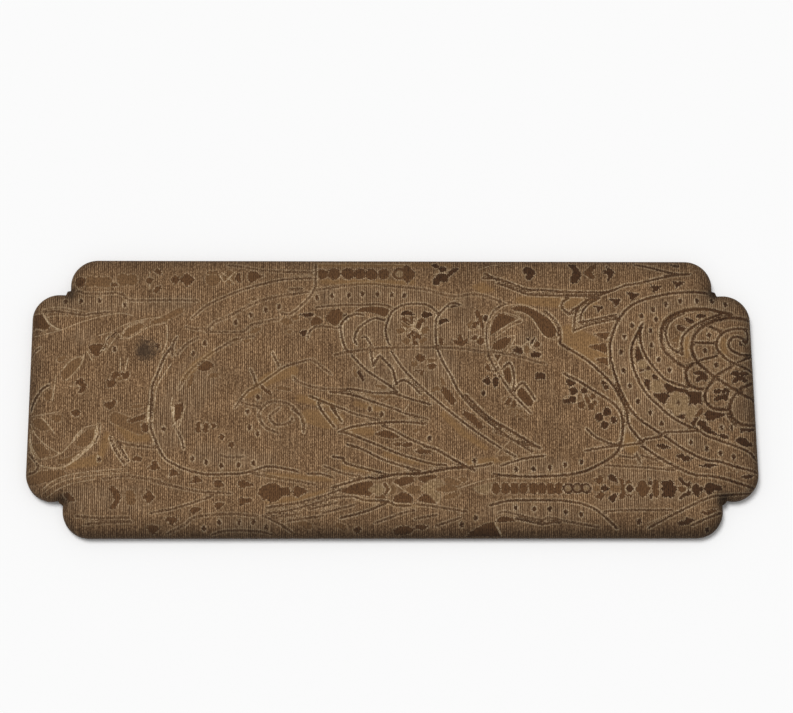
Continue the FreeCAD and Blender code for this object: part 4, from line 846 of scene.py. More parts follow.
DABS = {
    "dark": (
        # right-hand end: curls, cells, discs beside the lobe, and rings of the front band
        (149.4, 40.3, 0.7, 152.2, 40.4, 0.6), (138.2, 22.2, 0.7),
        (169.4, 26.4, 0.7, 171.2, 26.8, 1.4, 172.6, 28.4, 0.9),
        (146.6, 10.8, 0.5, 149, 11.2, 0.8, 151, 10.6, 1, 151.4, 8, 0.7), (150.4, 9.8, 1.1, 147.4, 7.4, 0.8),
        (155.6, 1.5, 0.6, 157.6, 1.8, 0.9), (159.6, 1.6, 0.7, 161.4, 2.9, 0.7),
        (155.8, -2.4, 0.7, 158.2, -1.2, 0.8), (159.8, -0.6, 0.7, 160.8, -2.2, 0.7),
        (162, 1.8, 0.4, 161, -1.4, 0.4), (164.8, 10.8, 0.8, 167, 10.8, 0.9),
        (169, 10.6, 0.7, 171.4, 11.2, 0.8), (165, 6.8, 0.7, 168, 8.6, 0.9),
        (169.2, 8.4, 0.7, 170.8, 7, 0.8), (162.7, -15.7, 0.45, 162.7, -17.4, 0.45), (112.5, -47.1, 1.7),
        (136.9, -42.3, 0.45, 138.1, -44.2, 0.45, 139.8, -45.3, 0.45),
        (136.4, -52, 0.45, 138.1, -50.3, 0.45, 139.2, -49.9, 0.45), (102.9, -8.5, 1.7), (99, -11.2, 1.7),
        (106, -12.6, 1.2, 106, -13.2, 1.2), (101.5, -15.4, 1.6), (101.7, 6.2, 0.9), (102.9, 3.7, 1),
        *((x, -47, 2.3) for x in (83, 87.3, 91.6)),
        # middle
        (-22.8, 38.8, 0.9, -22.8, 40.2, 0.9), (-16.5, 11.5, 0.5, -14.5, 7.5, 0.5), (-43.2, 31.4, 1.2),
    ),
    "umber": (
        # right-hand end: the fan beside the lobe
        (93.5, -1.4, 1.4, 93.5, -2.9, 1.4), (96.7, -0.6, 1.1), (95.4, -5.6, 0.95, 95.4, -6.6, 0.95),
        (97.3, -4.1, 0.95), (90.7, -4.9, 1.2, 90.7, -5.8, 1.2),
        # middle: beads of the bands, and petals
        *((x, -46, 1.6, x, -48.1, 1.6) for x in (48.6, 53, 57.4, 61.8, 66.4, 70.4, 74.5, 78.6)),
        (3.3, 62.2, 2.8), (-4.4, -45, 0.5, -2.6, -47.4, 0.5, -3.8, -49.2, 0.5), (13.7, 10.7, 0.7),
        (43.2, 38.4, 1, 43.6, 39.6, 1), (23, 26, 1, 23.4, 27.6, 1), (-34.4, 62, 2.4), (-28.4, 62.1, 2.65),
        (-21.7, 62.2, 2.8), (-15.9, 62.2, 2.6), (-10.2, 62, 2.7), (-4.2, 62.2, 2.5),
        (10.2, 37.2, 0.6, 9.6, 39.6, 0.9), (12.6, 36.6, 0.6, 14.8, 38.4, 0.9),
        (8.2, 36.4, 0.6, 5.4, 38.8, 0.9), (9.6, 32, 0.5, 8.2, 30.2, 0.9),
        (11.8, 31.8, 0.5, 12.8, 29.6, 0.9), (46.4, 12.6, 0.5, 45.8, 14.6, 0.8),
        (48.8, 12, 0.5, 50.4, 13.2, 0.8), (49.4, 9.8, 0.5, 51.4, 9, 0.8), (56, -2, 0.6, 55, -4.4, 0.9),
        (58.4, -3, 0.5, 58, -5.6, 0.9), (60.6, -2.6, 0.5, 61.4, -4.8, 0.9),
        (41.6, 39.8, 0.5, 41.2, 42.2, 0.9), (43.4, 38.6, 0.5, 45.6, 39.6, 0.9),
        (42.8, 37, 0.5, 43.6, 34.8, 0.9), (41, 37, 0.5, 39.6, 35, 0.9),
        # left-hand side
        (-93.3, -14.8, 0.8, -93.3, -18.2, 0.8), (-89.7, -15.3, 0.8, -89.7, -18.2, 0.8), (-86, -15.8, 1),
        (-82, -21.5, 1), (-77.5, -25.3, 1.1), (-136.5, 56.2, 0.5, -134.5, 56, 0.5),
        (-63.5, 4.2, 0.5, -60.8, 1.4, 0.5, -59.1, 0.6, 0.5),
    ),
    "brown": (
        # right-hand end
        (132.5, 36.5, 0.8, 135, 40.2, 1.1, 139, 42.3, 1.3, 144, 43.6, 1, 150, 44.2, 0.8, 156, 43.6, 0.6),
        (136.6, 27.8, 0.6, 138.4, 28.4, 1.2, 139.8, 29.6, 0.6), (125.5, 68.2, 0.5, 129.5, 68.2, 0.5),
        (149, 66, 1),
        # middle
        (53.2, -2.5, 0.7, 55, -2.5, 0.7), (55.2, -5.7, 0.7, 56.6, -5.7, 0.7),
        (57.5, -6.8, 0.8, 58.8, -6.8, 0.8), (56, -8.5, 0.6), (61, -8.2, 0.8), (59.7, -10.5, 0.6),
        (63.5, -11.2, 0.8), (-4, -2.5, 0.5, -1.5, -0.5, 0.5), (23.5, 8, 0.6, 24.5, 4, 0.8),
        (19, 2, 0.6, 21.5, 3.5, 0.6, 22, 2.5, 0.6), (10.8, -18.3, 1), (-44, -64, 1, -40, -65.5, 1.2),
        (-27, -64.6, 0.9, -23.6, -66, 1),
        # left-hand side
        (-147.5, 57.8, 2.6), (-143, 57.8, 2.5), (-139.3, 57.5, 2.6), (-81.7, 60, 1.4), (-79.6, 57.8, 1.2),
        (-77.3, 60.2, 1.3), (-79.6, 62.4, 1.2), (-125, -50, 2, -124.5, -53, 2),
        (-125, -6.3, 0.6, -121, -6, 0.6), (-161, 17.4, 0.8, -158.6, 18.6, 0.8),
        (-133, -12, 2.6, -121, -17, 3), (-172, -42, 3, -158, -40, 2), (-131.5, 58.8, 2.9),
        (-127, 58.8, 2.6),
    ),
    "tan": (
        # right-hand end: the scalloped flower in the crescent, and middles of the rings
        (137.5, -4, 3.2), (136.5, -0.3, 1.6), (133.5, -5.5, 1.7), (140.5, -2.6, 1.9), (140, -6.5, 2),
        (136.5, -8, 2), (120.8, 15.4, 1.7), (122.9, 10.3, 1.6),
        *((x, -46.9, 0.75) for x in (83, 87.3, 91.6)),
        # middle
        (3.4, 62.2, 1.1),
    ),
}
# Where the ground is smooth satin, and where its ribs stand out most; elsewhere it is speckled.
GROUNDS = {
    "satin": (
        # right-hand end
        (86, 31, 5, 94, 24, 7, 101, 20, 4), (112, -21, 1.5, 114, -26, 3.5), (142.5, 20, 1.5, 143, 29, 1.5),
        (161, 19, 1.5, 161, 28, 1.5),
        # middle: strips between leaf lines
        (62, 48.5, 2, 80, 47.5, 3, 98, 47, 2), (40, 55.5, 1, 44, 55, 3, 49, 54, 1),
        (-34, 58, 1.2, 10, 57.8, 1.2), (-36, 67, 1, 28, 67, 1),
        (-41, -11, 3.5, -32, -13, 4.5, -26, -12, 2.5), (-18, -18, 2, -11, -19, 2), (62, -1, 2, 65, -4, 2),
        (-18, -4.5, 1.2, -6, -8, 1.2), (-4, -30, 1.2, 8, -33.5, 1.4, 20, -35, 0.8),
        (-24, -36.5, 1.2, -10, -38.5, 1.2), (36, -34.5, 1.2, 46, -33, 1.5, 58, -32.5, 1),
        (-16, -52.8, 0.8, 0, -55, 1, 12, -55.6, 0.8), (24, -10, 1.5, 34, -20, 1.8, 44, -27, 1.2),
        (-60, -40.5, 1.2, -45, -41.5, 1.4, -30, -42.5, 1), (-60, -53.5, 1, -45, -52, 1.2, -33, -48.5, 0.8),
        (-45, -2, 2, -30, -5, 2), (-23.4, -18.7, 0.4, -19, -18.5, 1.6),
        # left-hand side
        (-130, -14, 3.5, -125, -20, 4, -118, -22, 2), (-154, -36, 1.5, -142, -33, 3),
        (-140, -33, 1.5, -138, -26, 2, -137, -20, 1.2), (-101, 8, 1.5, -95, 15, 2, -88, 21, 1.5),
        (-70, 0, 2, -60, 8, 3, -48, 12, 2.5),
    ),
    "ribbed": (
        # right-hand end
        (112, 40, 3, 109, 22, 3, 113, 5, 3, 124, -10, 3.5, 146, -25, 3),
        (125, 45, 3, 145, 49, 3, 165, 44, 3), (124, 30, 2.5, 127, 20, 2.5, 136, 10, 2), (168, -7, 5),
        (100, -40, 3, 130, -42, 3), (100, -55, 3, 140, -50, 3),
        # middle
        (-36, 50, 3.5, -10, 51.5, 3.5, 20, 50, 3), (36, 46, 4),
        (-22, 33, 5, -8, 33, 6, 8, 34, 9, 34, 36, 9, 42, 30, 6), (66, 27, 6), (-10, 10, 10, 20, 12, 12),
        (40, -36, 3, 80, -36, 3), (45, -58, 3.5, 90, -59, 3),
        # left-hand side
        (-108, -20, 8, -100, 0, 10, -92, 12, 8), (-90, -30, 5, -60, -34, 4), (-150, 30, 5),
        (-165, 46, 3, -120, 46, 4, -100, 48, 4), (-150, -52, 6, -120, -52, 6), (-80, -65, 3, -60, -65, 3),
    ),
}
FIELD_LIMIT = 3.0


def smooth_path(points):
    """The Catmull-Rom curve through the points, read about once a grid pitch: on each span the cubic
    whose slope at a point is half the step between that point's neighbours.
    """
    p = np.array(points, float).reshape(-1, 2)
    p = np.concatenate([[2 * p[0] - p[1]], p, [2 * p[-1] - p[-2]]])
    spans = []
    for a, b, c, d in zip(p, p[1:], p[2:], p[3:]):
        t = np.linspace(0, 1, max(2, int(np.hypot(*(c - b)) / PITCH) + 1), endpoint=False)[:, None]
        square, cube = a - 2.5 * b + 2 * c - d / 2, (d - a + 3 * (b - c)) / 2
        spans.append(b + t * (c - a) / 2 + t**2 * square + t**3 * cube)
    return np.concatenate([*spans, p[-2:-1]])


def block_near(places, reach):
    """The block of the cloth's grid within reach of the places."""
    low, high = np.min(places, 0) - reach, np.max(places, 0) + reach
    columns, rows = (np.searchsorted(lines, (low[k], high[k])) for k, lines in enumerate((us, vs)))
    return slice(*columns), slice(*rows)


def from_run(block, start, end):
    """For each point of a block, its place from 0 to 1 along a straight run, and its offset from there."""
    run = end - start
    dx, dy = U[block] - start[0], V[block] - start[1]
    along = np.clip((dx * run[0] + dy * run[1]) / max(run @ run, 1e-9), 0, 1)
    return along, dx - along * run[0], dy - along * run[1]


def runs_of(points):
    """The short straight runs of a smooth path: the block of the grid near each, its direction, and the
    offsets of the block's points from it.
    """
    path = smooth_path(points)
    for start, end in zip(path, path[1:]):
        block = block_near((start, end), FIELD_LIMIT)
        _, dx, dy = from_run(block, start, end)
        yield block, (end - start) / np.hypot(*(end - start)), dx, dy


# A dot is a short upright stitch. On the left-hand half the dots are paler.
DOT_HALF = 0.35
DOT_RADIUS = 0.6
stitches = [(x, y - DOT_HALF, x, y + DOT_HALF) for x, y in np.array(DOTS).reshape(-1, 2)]
stitches_of = {
    "dot": [stitch for stitch in stitches if stitch[0] > 0],
    "faint dot": [stitch for stitch in stitches if stitch[0] <= 0],
}

# Fields of the outlines: distance to the nearest one, the same with a sign for its side, how far it runs
# towards the back, and its weight. The side is straight across a groove, where the distance has a kink.
near = np.full(U.shape, FIELD_LIMIT)
side = np.full(U.shape, FIELD_LIMIT)
upright = np.zeros(U.shape)
half_width = np.full(U.shape, 0.5)
groove = np.zeros(U.shape)
rim = np.zeros(U.shape)
for weight, outlines in {**OUTLINES, **stitches_of}.items():
    for outline in outlines:
        for block, run, dx, dy in runs_of(outline):
            gap = np.hypot(dx, dy)
            nearer = gap < near[block]
            near[block][nearer] = gap[nearer]
            side[block][nearer] = (gap * np.where(run[0] * dy - run[1] * dx < 0, -1, 1))[nearer]
            upright[block][nearer] = run[1] ** 2
            half_width[block][nearer], groove[block][nearer], rim[block][nearer] = WEIGHTS[weight]


def dab_field(chains, limit):
    """Signed distance to chains of dabs: for each taper, the distance to its run less its radius there."""
    field = np.full(U.shape, limit)
    for chain in chains:
        dabs = np.array(chain, float).reshape(-1, 3)
        for a, b in zip(dabs, dabs[1:] if len(dabs) > 1 else dabs):
            block = block_near((a[:2], b[:2]), max(a[2], b[2]) + limit)
            along, dx, dy = from_run(block, a[:2], b[:2])
            field[block] = np.minimum(field[block], np.hypot(dx, dy) - a[2] - along * (b[2] - a[2]))
    return field


def shape_field(shapes, limit):
    """Signed distance to shapes with straight sides: the distance to the nearest side, negative where a
    level ray from the point crosses an odd number of sides.
    """
    field = np.full(U.shape, limit)
    for shape in shapes:
        corners = np.array(shape, float).reshape(-1, 2)
        block = block_near(corners, limit)
        gap = np.full(U[block].shape, np.inf)
        inside = np.zeros(gap.shape, bool)
        for a, b in zip(corners, np.roll(corners, -1, 0)):
            _, dx, dy = from_run(block, a, b)
            gap = np.minimum(gap, np.hypot(dx, dy))
            crossed = (a[1] > V[block]) != (b[1] > V[block])
            rise = (b[1] - a[1]) or 1.0
            inside ^= crossed & (U[block] < a[0] + (V[block] - a[1]) * (b[0] - a[0]) / rise)
        field[block] = np.minimum(field[block], np.where(inside, -gap, gap))
    return field


# threads spread a figure a little past its drawn edge
SPREAD = 0.3
dots = {
    kind: [(x, low, DOT_RADIUS, x, high, DOT_RADIUS) for x, low, _, high in those]
    for kind, those in stitches_of.items()
}
dabs_of = {
    **DABS,
    "dark": (*DABS["dark"], *dots["dot"]),
    "umber": (*DABS["umber"], *dots["faint dot"]),
}
dark, umber, brown, tan = (
    np.minimum(shape_field(SHAPES[tone], FIELD_LIMIT), dab_field(dabs_of[tone], FIELD_LIMIT)) - SPREAD
    for tone in ("dark", "umber", "brown", "tan")
)
satin = dab_field(GROUNDS["satin"], FIELD_LIMIT)
ribbed = dab_field(GROUNDS["ribbed"], 2 * FIELD_LIMIT)

# Creases where the cloth is pulled into the inside corners.
CREASES = (
    (150, 59, 153.3, 55.8, 156.6, 53.6), (155, -54.3, 160, -55), (-150.5, 57.6, -155.8, 53.4),
    (-154, -56.5, -157, -52.6), (163, -49.6, 158, -52.2),
)
crease = np.full(U.shape, FIELD_LIMIT)
for line in CREASES:
    for block, _, dx, dy in runs_of(line):
        crease[block] = np.minimum(crease[block], np.hypot(dx, dy))

GROOVE_DEPTH = 0.14
RIM_HEIGHT = 0.07
FIGURE_SLOPE = 0.04
FIGURE_REACH = 0.5
CREASE_DEPTH = 0.5
CREASE_WIDTH = 0.7
CORNER_DIP = 0.5
CORNER_REACH = 5
# the tilt in radians at which the weave's relief is gone, just past the upright edge
RELIEF_TILT = 1.6
from_corner = np.hypot(np.abs(U) - half_length + NOTCH, np.abs(V) - half_depth + NOTCH)


def cloth_surface(beyond):
    """Each grid point of the flat cloth carried over the edge profile, then eased: the padding falls
    away towards the edge, dips into the inside corners, and the weave's relief stands along the normal.
    """
    ex, ey, nx, ny, signed = nearest_edge(U, V, beyond)
    out, down, tilt = edge_profile(np.minimum(signed + ROLL, cloth_end))
    on_top = signed < -ROLL
    x = np.where(on_top, U, ex + nx * (out - ROLL))
    y = np.where(on_top, V, ey + ny * (out - ROLL))
    dip = crown_fall(np.maximum(-signed, 0), ey) + CORNER_DIP * np.exp(-(from_corner / CORNER_REACH) ** 2)
    # long shallow waves of the padding, about a tenth of a millimetre high
    sway = 0.1 * np.sin(U / 23 + 1) * np.sin(V / 17 + 2) + 0.06 * np.sin(U / 9 + V / 13)
    sway *= np.clip(-signed / CROWN_REACH, 0, 1)
    z = cover_top - down - (dip - sway) * (1 - down / (cover_top - hem_level))
    relief = RIM_HEIGHT * rim * np.exp(-((near - 2 * half_width) / half_width) ** 2)
    relief -= GROOVE_DEPTH * groove * np.exp(-(near / half_width) ** 2)
    relief -= FIGURE_SLOPE * np.clip(-np.minimum(dark, umber), 0, FIGURE_REACH)
    relief -= CREASE_DEPTH * np.exp(-(crease / CREASE_WIDTH) ** 2)
    relief -= RIM_HEIGHT
    relief *= np.clip(RELIEF_TILT - tilt, 0, 1)
    x = x + nx * np.sin(tilt) * relief
    y = y + ny * np.sin(tilt) * relief
    z = z + np.cos(tilt) * relief
    return np.stack([x, y, z], -1)


# The slit: a grid point on a corner's diagonal belongs to both flaps, so it has a second copy for the flap
# behind, and each square on the diagonal is parted into two triangles, one for each flap.
ahead_u, ahead_v = np.abs(U) - EDGE_CENTRES[1][0], np.abs(V) - EDGE_CENTRES[1][1]
on_slit = (np.abs(ahead_u - ahead_v) < TINY) & (ahead_u > TINY)
before = cloth_surface(np.zeros(U.shape, bool))
behind = cloth_surface(on_slit)
index = np.arange(U.size).reshape(U.shape)
second = index.copy()
second[on_slit] = U.size + np.arange(on_slit.sum())
points = np.concatenate([before.reshape(-1, 3), behind[on_slit]])
flat = np.concatenate([np.stack([U, V], -1).reshape(-1, 2), np.stack([U[on_slit], V[on_slit]], -1)])


def squares(numbers):
    """The four corners of every square of the grid, anticlockwise."""
    return np.stack([numbers[:-1, :-1], numbers[1:, :-1], numbers[1:, 1:], numbers[:-1, 1:]], -1)


reach = nearest_edge(U, V, np.zeros(U.shape, bool))[4]
kept = squares(reach).min(-1) < cloth_end - ROLL - TINY
mid_u, mid_v = squares(ahead_u).mean(-1), squares(ahead_v).mean(-1)
parted = (np.abs(mid_u - mid_v) < TINY) & (mid_u > 0)
rear = (mid_v > mid_u + TINY) & (mid_u > -PITCH)
quads = np.where(rear[..., None], squares(second), squares(index))[kept & ~parted]
front, back = squares(index)[kept & parted], squares(second)[kept & parted]
turned = np.sign(squares(U).mean(-1) * squares(V).mean(-1))[kept & parted]
slit_corner = np.where(turned[:, None] > 0, (0, 1, 2, 3), (1, 2, 3, 0))
front = np.take_along_axis(front, slit_corner, 1)
back = np.take_along_axis(back, slit_corner, 1)
past_centre = np.abs(flat[front[:, 1]]) - EDGE_CENTRES[1]
right_flap = past_centre[:, 0] > past_centre[:, 1]
first_half, second_half = np.array([0, 1, 2]), np.array([0, 2, 3])
triangles = np.concatenate([
    np.where(right_flap[:, None], front[:, first_half], back[:, first_half]),
    np.where(right_flap[:, None], back[:, second_half], front[:, second_half]),
])

used, renumbered = np.unique(np.concatenate([quads.ravel(), triangles.ravel()]), return_inverse=True)
cover_faces = renumbered[:quads.size].reshape(-1, 4).tolist()
cover_faces += renumbered[quads.size:].reshape(-1, 3).tolist()
cover_mesh = bpy.data.meshes.new("cover")
cover_mesh.from_pydata((points[used] * MM).tolist(), [], cover_faces)
cover_mesh.polygons.foreach_set("use_smooth", np.ones(len(cover_mesh.polygons), bool))
corners = np.zeros(len(cover_mesh.loops), np.int32)
cover_mesh.loops.foreach_get("vertex_index", corners)
unwrapped = 0.5 + flat[used] / (2 * flat_half)
cover_mesh.uv_layers.new(name="OFBake").data.foreach_set("uv", unwrapped[corners].astype(np.float32).ravel())


def keep_field(name, *parts):
    """Stores fields of the grid with the cloth, as one attribute of one number or three for each point."""
    stacked = np.stack([np.concatenate([part.ravel(), part[on_slit]])[used] for part in parts], -1)
    kind, key = ("FLOAT_VECTOR", "vector") if len(parts) == 3 else ("FLOAT", "value")
    cover_mesh.attributes.new(name, kind, "POINT").data.foreach_set(key, stacked.astype(np.float32).ravel())


# Painted shade and light: the cloth is painted paler in the middle of the tray and beside the great paisley,
# and painted darker along its edges, most at the front and in the inside corners, and towards the right-hand
# end.
from_edge = np.clip(-reach, 0, None)
edge_shade = 0.22 * np.exp(-(from_edge / 10) ** 2) + 0.25 * np.exp(-(from_edge / 4) ** 2)
front_shade = 0.14 * np.exp(-((V + half_depth) / 9) ** 2)
corner_shade = 0.3 * np.exp(-(from_corner / 3.5) ** 2)
right_shade = 0.03 * np.clip((U + 80) / 60, 0, 1) + 0.1 * np.clip((U - 120) / 55, 0, 1)
paisley_light = 0.12 * np.exp(-((U - 108) / 30) ** 2 - ((V - 18) / 24) ** 2)
painted_shading = 1 - edge_shade - front_shade - corner_shade - right_shade + paisley_light

# In the fields of the outlines one unit is a whole width, so one threshold serves every weight. The
# distance is eased by half a mesh step, which it overstates at the middle of a groove.
keep_field("outline", side / (2 * half_width), np.maximum(near - PITCH / 2, 0) / (2 * half_width), upright)
keep_field("weight", groove, rim, tan)
keep_field("figure", dark, umber, brown)
# the ground's third number is the painted shading of the edges, the inside corners and the ends
keep_field("ground", satin, ribbed, painted_shading)

# Viscose jacquard: matt ribs, a soft sheen on the satin, grooves that hold shadow, and pale rims whose
# paleness is partly a painted highlight.
# Real threads are about 0.2 mm apart; they are drawn coarser, so that they show.
THREAD = (0.46, 0.6)
RIB_WIDTH = 0.36
RIB_LENGTHS = {"short": 1.3, "long": 9.0}
CORD_PITCH = 0.97
MOTTLE = 14
WEAVE_HEIGHT = 0.12
jacquard = bpy.data.materials.new("jacquard_woven_viscose")
jacquard.use_nodes = True
tree = jacquard.node_tree
shader = tree.nodes["Principled BSDF"]
unit_square = add(tree, "ShaderNodeUVMap", uv_map="OFBake")["UV"]
on_cloth = add(
    tree, "ShaderNodeMapping",
    {"Vector": unit_square, "Scale": (*(2 * flat_half), 1), "Location": (*-flat_half, 0)},
)["Vector"]
cell = add(tree, "ShaderNodeVectorMath", {0: on_cloth, 1: (*THREAD, 1)}, operation="SNAP")["Vector"]
grains = add(tree, "ShaderNodeTexWhiteNoise", {"Vector": cell}, noise_dimensions="2D")
grain = grains["Value"]
other_grains = add(tree, "ShaderNodeSeparateColor", {"Color": grains["Color"]})
ribs_of, drawn_out_of = {}, {}
for name, length in RIB_LENGTHS.items():
    drawn_out_of[name] = add(
        tree, "ShaderNodeMapping", {"Vector": on_cloth, "Scale": (1 / RIB_WIDTH, 1 / length, 1)}
    )["Vector"]
    waves = add(
        tree, "ShaderNodeTexNoise", {"Vector": drawn_out_of[name], "Scale": 1, "Detail": 0},
        noise_dimensions="2D",
    )["Fac"]
    ribs_of[name] = add(
        tree, "ShaderNodeMapRange", {"Value": waves, "From Min": 0.3, "From Max": 0.7}
    )["Result"]
# the wave node's bands are a tenth of pi apart at scale 1
cords = add(
    tree, "ShaderNodeTexWave",
    {"Vector": drawn_out_of["long"], "Scale": np.pi / 10 * RIB_WIDTH / CORD_PITCH, "Distortion": 2.5,
     "Detail": 1, "Detail Scale": 3},
)["Fac"]
mottle = add(
    tree, "ShaderNodeTexNoise", {"Vector": on_cloth, "Scale": 1 / MOTTLE, "Detail": 3}, noise_dimensions="2D"
)["Fac"]


def weigh(*terms):
    """The sum of fields, each times its own weight."""
    total = 0.0
    for field, share in terms:
        total = add(tree, "ShaderNodeMath", {0: field, 1: share, 2: total}, operation="MULTIPLY_ADD")[0]
    return total


def product(first, second):
    """One field times another, or times a number."""
    return add(tree, "ShaderNodeMath", {0: first, 1: second}, operation="MULTIPLY")[0]


def step_down(field, start, end):
    """1 where the field is below start, 0 above end, and a smooth fall between."""
    limits = {"Value": field, "From Min": end, "From Max": start}
    return add(tree, "ShaderNodeMapRange", limits, interpolation_type="SMOOTHSTEP")["Result"]


def layer(colour, amount, over):
    """Lays one colour of the weave over another where amount is 1."""
    return add(tree, "ShaderNodeMix", {0: amount, 6: colour, 7: over}, data_type="RGBA")[2]


def field(name):
    """The three numbers that keep_field stored under a name."""
    stored = add(tree, "ShaderNodeAttribute", attribute_name=name)["Vector"]
    return add(tree, "ShaderNodeSeparateXYZ", {0: stored})


figure, ground, outline, weight = (field(name) for name in ("figure", "ground", "outline", "weight"))

rib_level = weigh((cords, 0.44), (ribs_of["short"], 0.2), (ribs_of["long"], 0.19), (grain, 0.17))
ribs = ramp(tree, rib_level, ((0.0, "#291504"), (0.5, "#6b5036"), (1.0, "#bfa07c")))
speck_level = weigh((cords, 0.33), (ribs_of["short"], 0.26), (ribs_of["long"], 0.18), (grain, 0.23))
speckle = ramp(tree, speck_level, ((0.0, "#291404"), (0.5, "#694d32"), (1.0, "#c29f78")))
smooth_level = weigh((mottle, 0.3), (grain, 0.2), (ribs_of["short"], 0.3), (cords, 0.3))
smooth = ramp(tree, smooth_level, ((0.2, "#593f24"), (0.9, "#98754d")))
brown_satin = ramp(tree, smooth_level, ((0.2, "#462f19"), (0.9, "#886745")))
umber_satin = ramp(tree, smooth_level, ((0.2, "#36200e"), (0.9, "#715031")))
dark_satin = ramp(tree, smooth_level, ((0.2, "#241305"), (0.9, "#593b22")))
tan_ribs = ramp(tree, speck_level, ((0.0, "#4a341d"), (0.5, "#7c6244"), (1.0, "#bc9f78")))
pale_thread = ramp(tree, other_grains["Red"], ((0.0, "#93764f"), (1.0, "#dcc4a2")))
groove_thread = ramp(tree, other_grains["Green"], ((0.0, "#2a1606"), (1.0, "#54361c")))

jagged = weigh((grain, 0.35), (ribs_of["short"], 0.2))
ribbed_inside = step_down(weigh((ground["Y"], 1.0), (jagged, 2.0)), -1.5, 3.5)
satin_inside = step_down(weigh((ground["X"], 1.0), (jagged, 1.0)), -0.6, 1.2)
colour = layer(speckle, ribbed_inside, ribs)
colour = layer(colour, satin_inside, smooth)

# each tone lies over the one before; pale threads of the ground float at its ragged edge
flecks = add(tree, "ShaderNodeMapRange", {"Value": other_grains["Blue"], "To Min": 0.35})["Result"]
TONES = (
    (figure["Z"], brown_satin, 0.35), (figure["Y"], umber_satin, 0.55), (figure["X"], dark_satin, 0.6),
    (weight["Z"], tan_ribs, 0.5),
)
for distance, satin_colour, fringe in TONES:
    ragged_edge = weigh((distance, 1.0), (jagged, 1.8))
    floats = product(step_down(ragged_edge, 0.9, 1.2), flecks)
    colour = layer(colour, product(floats, fringe), pale_thread)
    colour = layer(colour, step_down(ragged_edge, 0.4, 0.9), satin_colour)

across = add(tree, "ShaderNodeMath", {0: outline["X"]}, operation="ABSOLUTE")[0]
apart = add(tree, "ShaderNodeMath", {0: across, 1: outline["Y"]}, operation="MAXIMUM")[0]
ragged = weigh((apart, 1.0), (jagged, 0.8))
# painted highlight: a rim is painted paler where its outline runs towards the back, as if its raised threads
# caught the light
painted_rim_highlight = add(tree, "ShaderNodeMapRange", {"Value": outline["Z"], "To Min": 0.55})["Result"]
in_groove = step_down(ragged, 0.36, 1.05)
grooved = add(tree, "ShaderNodeMath", {0: weight["X"], 1: 0.1}, operation="GREATER_THAN")[0]
beside = weigh((product(in_groove, grooved), -1.0), (step_down(ragged, 1.08, 1.45), 1.0))
rim_amount = product(product(product(beside, painted_rim_highlight), flecks), weight["Y"])
in_patches = {"Value": mottle, "From Min": 0.35, "From Max": 0.65}
wear = add(tree, "ShaderNodeMapRange", {**in_patches, "To Min": 0.8})["Result"]
groove_amount = product(product(in_groove, weight["X"]), wear)
colour = layer(colour, rim_amount, pale_thread)
colour = layer(colour, groove_amount, groove_thread)

# one dark water stain near the back left-hand corner, then the wear in patches, and the painted shade towards
# the edges
STAIN = (-120, 22.3)
STAIN_EDGE = (7.5, 14)
STAIN_STRENGTH = 0.8
from_stain = add(tree, "ShaderNodeVectorMath", {0: on_cloth, 1: (*STAIN, 0)}, operation="DISTANCE")["Value"]
uneven_edge = weigh((from_stain, 1.0), (mottle, 9.0), (jagged, 5.0))
stain_amount = product(step_down(uneven_edge, *STAIN_EDGE), STAIN_STRENGTH)
stained = layer(colour, stain_amount, linear("#35281d"))
patches = add(tree, "ShaderNodeMapRange", {**in_patches, "To Min": 1.07, "To Max": 0.92})["Result"]
# the painted shading times the wear in patches
shading_and_wear = product(ground["Z"], patches)
shaded_and_worn = add(tree, "ShaderNodeVectorMath", {0: stained, "Scale": shading_and_wear}, operation="SCALE")["Vector"]
tree.links.new(shaded_and_worn, shader.inputs["Base Color"])

shader.inputs["Roughness"].default_value = 0.84
shader.inputs["Sheen Weight"].default_value = 0.03
shader.inputs["Sheen Roughness"].default_value = 0.5
shader.inputs["Sheen Tint"].default_value = linear("#c9a982")
shader.inputs["Specular IOR Level"].default_value = 0.2

weave_height = weigh((rib_level, 1.0), (groove_amount, -0.8), (rim_amount, 0.6))
bump = add(
    tree, "ShaderNodeBump", {"Height": weave_height, "Distance": WEAVE_HEIGHT * MM, "Strength": 0.8}
)["Normal"]
tree.links.new(bump, shader.inputs["Normal"])

cover_mesh.materials.append(jacquard)
cover = bpy.data.objects.new("cover", cover_mesh)
bpy.context.scene.collection.objects.link(cover)
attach(cover, "root")
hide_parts("cover_cloth")
cut_away = 4 * (NOTCH - INSIDE_RADIUS) ** 2
(4 * flat_half.prod() - cut_away) * MM**2


# Back card: thin brown card let in between the turned-in hems, to level the underside for the lining.
# Card is calendered, so it is smoother and a little glossier than the board, with fine fibres.
card = fibre_material(
    "card_calendered", 0.5,
    ((0.3, "#8c7c63"), (0.5, "#9e8c70"), (0.7, "#ab9a7f")), roughness=0.75, relief=0.02,
)
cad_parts["back_card"].material_slots[0].material = card


# Base felt: a thin dark brown felt glued over the hem and the card, the face that the tray rests on.
# Its edge is cut 3 mm in from the outline and rounds over with wear. Pressed wool is matt and fuzzy.
FELT_INSET = 3.0
FELT_ROUND = 0.3
felt_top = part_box("base_felt")[1][2] / MM
felt_levels = [(INNER_RING, inward, felt_top) for inward in np.linspace(1, 0, 12)]
felt_levels += [(FELT_INSET + 2, 0, felt_top)]
felt_levels += [
    (FELT_INSET + FELT_ROUND * (1 - np.sin(turn)), 0, felt_top / 2 * (1 + np.cos(turn)))
    for turn in np.linspace(0, np.pi, 9)
]
felt_levels += [(FELT_INSET + 2, 0, 0)]
felt_levels += [(INNER_RING, inward, 0) for inward in np.linspace(0, 1, 12)]
felt_fibre = fibre_material(
    "felt_pressed_wool", 0.8,
    ((0.3, "#33271c"), (0.5, "#46362a"), (0.7, "#584638")), roughness=1.0, relief=0.25, sheen=0.4,
)
felt = mesh_piece("felt", *ring_loft(felt_levels), felt_fibre, "felt")
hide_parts("base_felt")


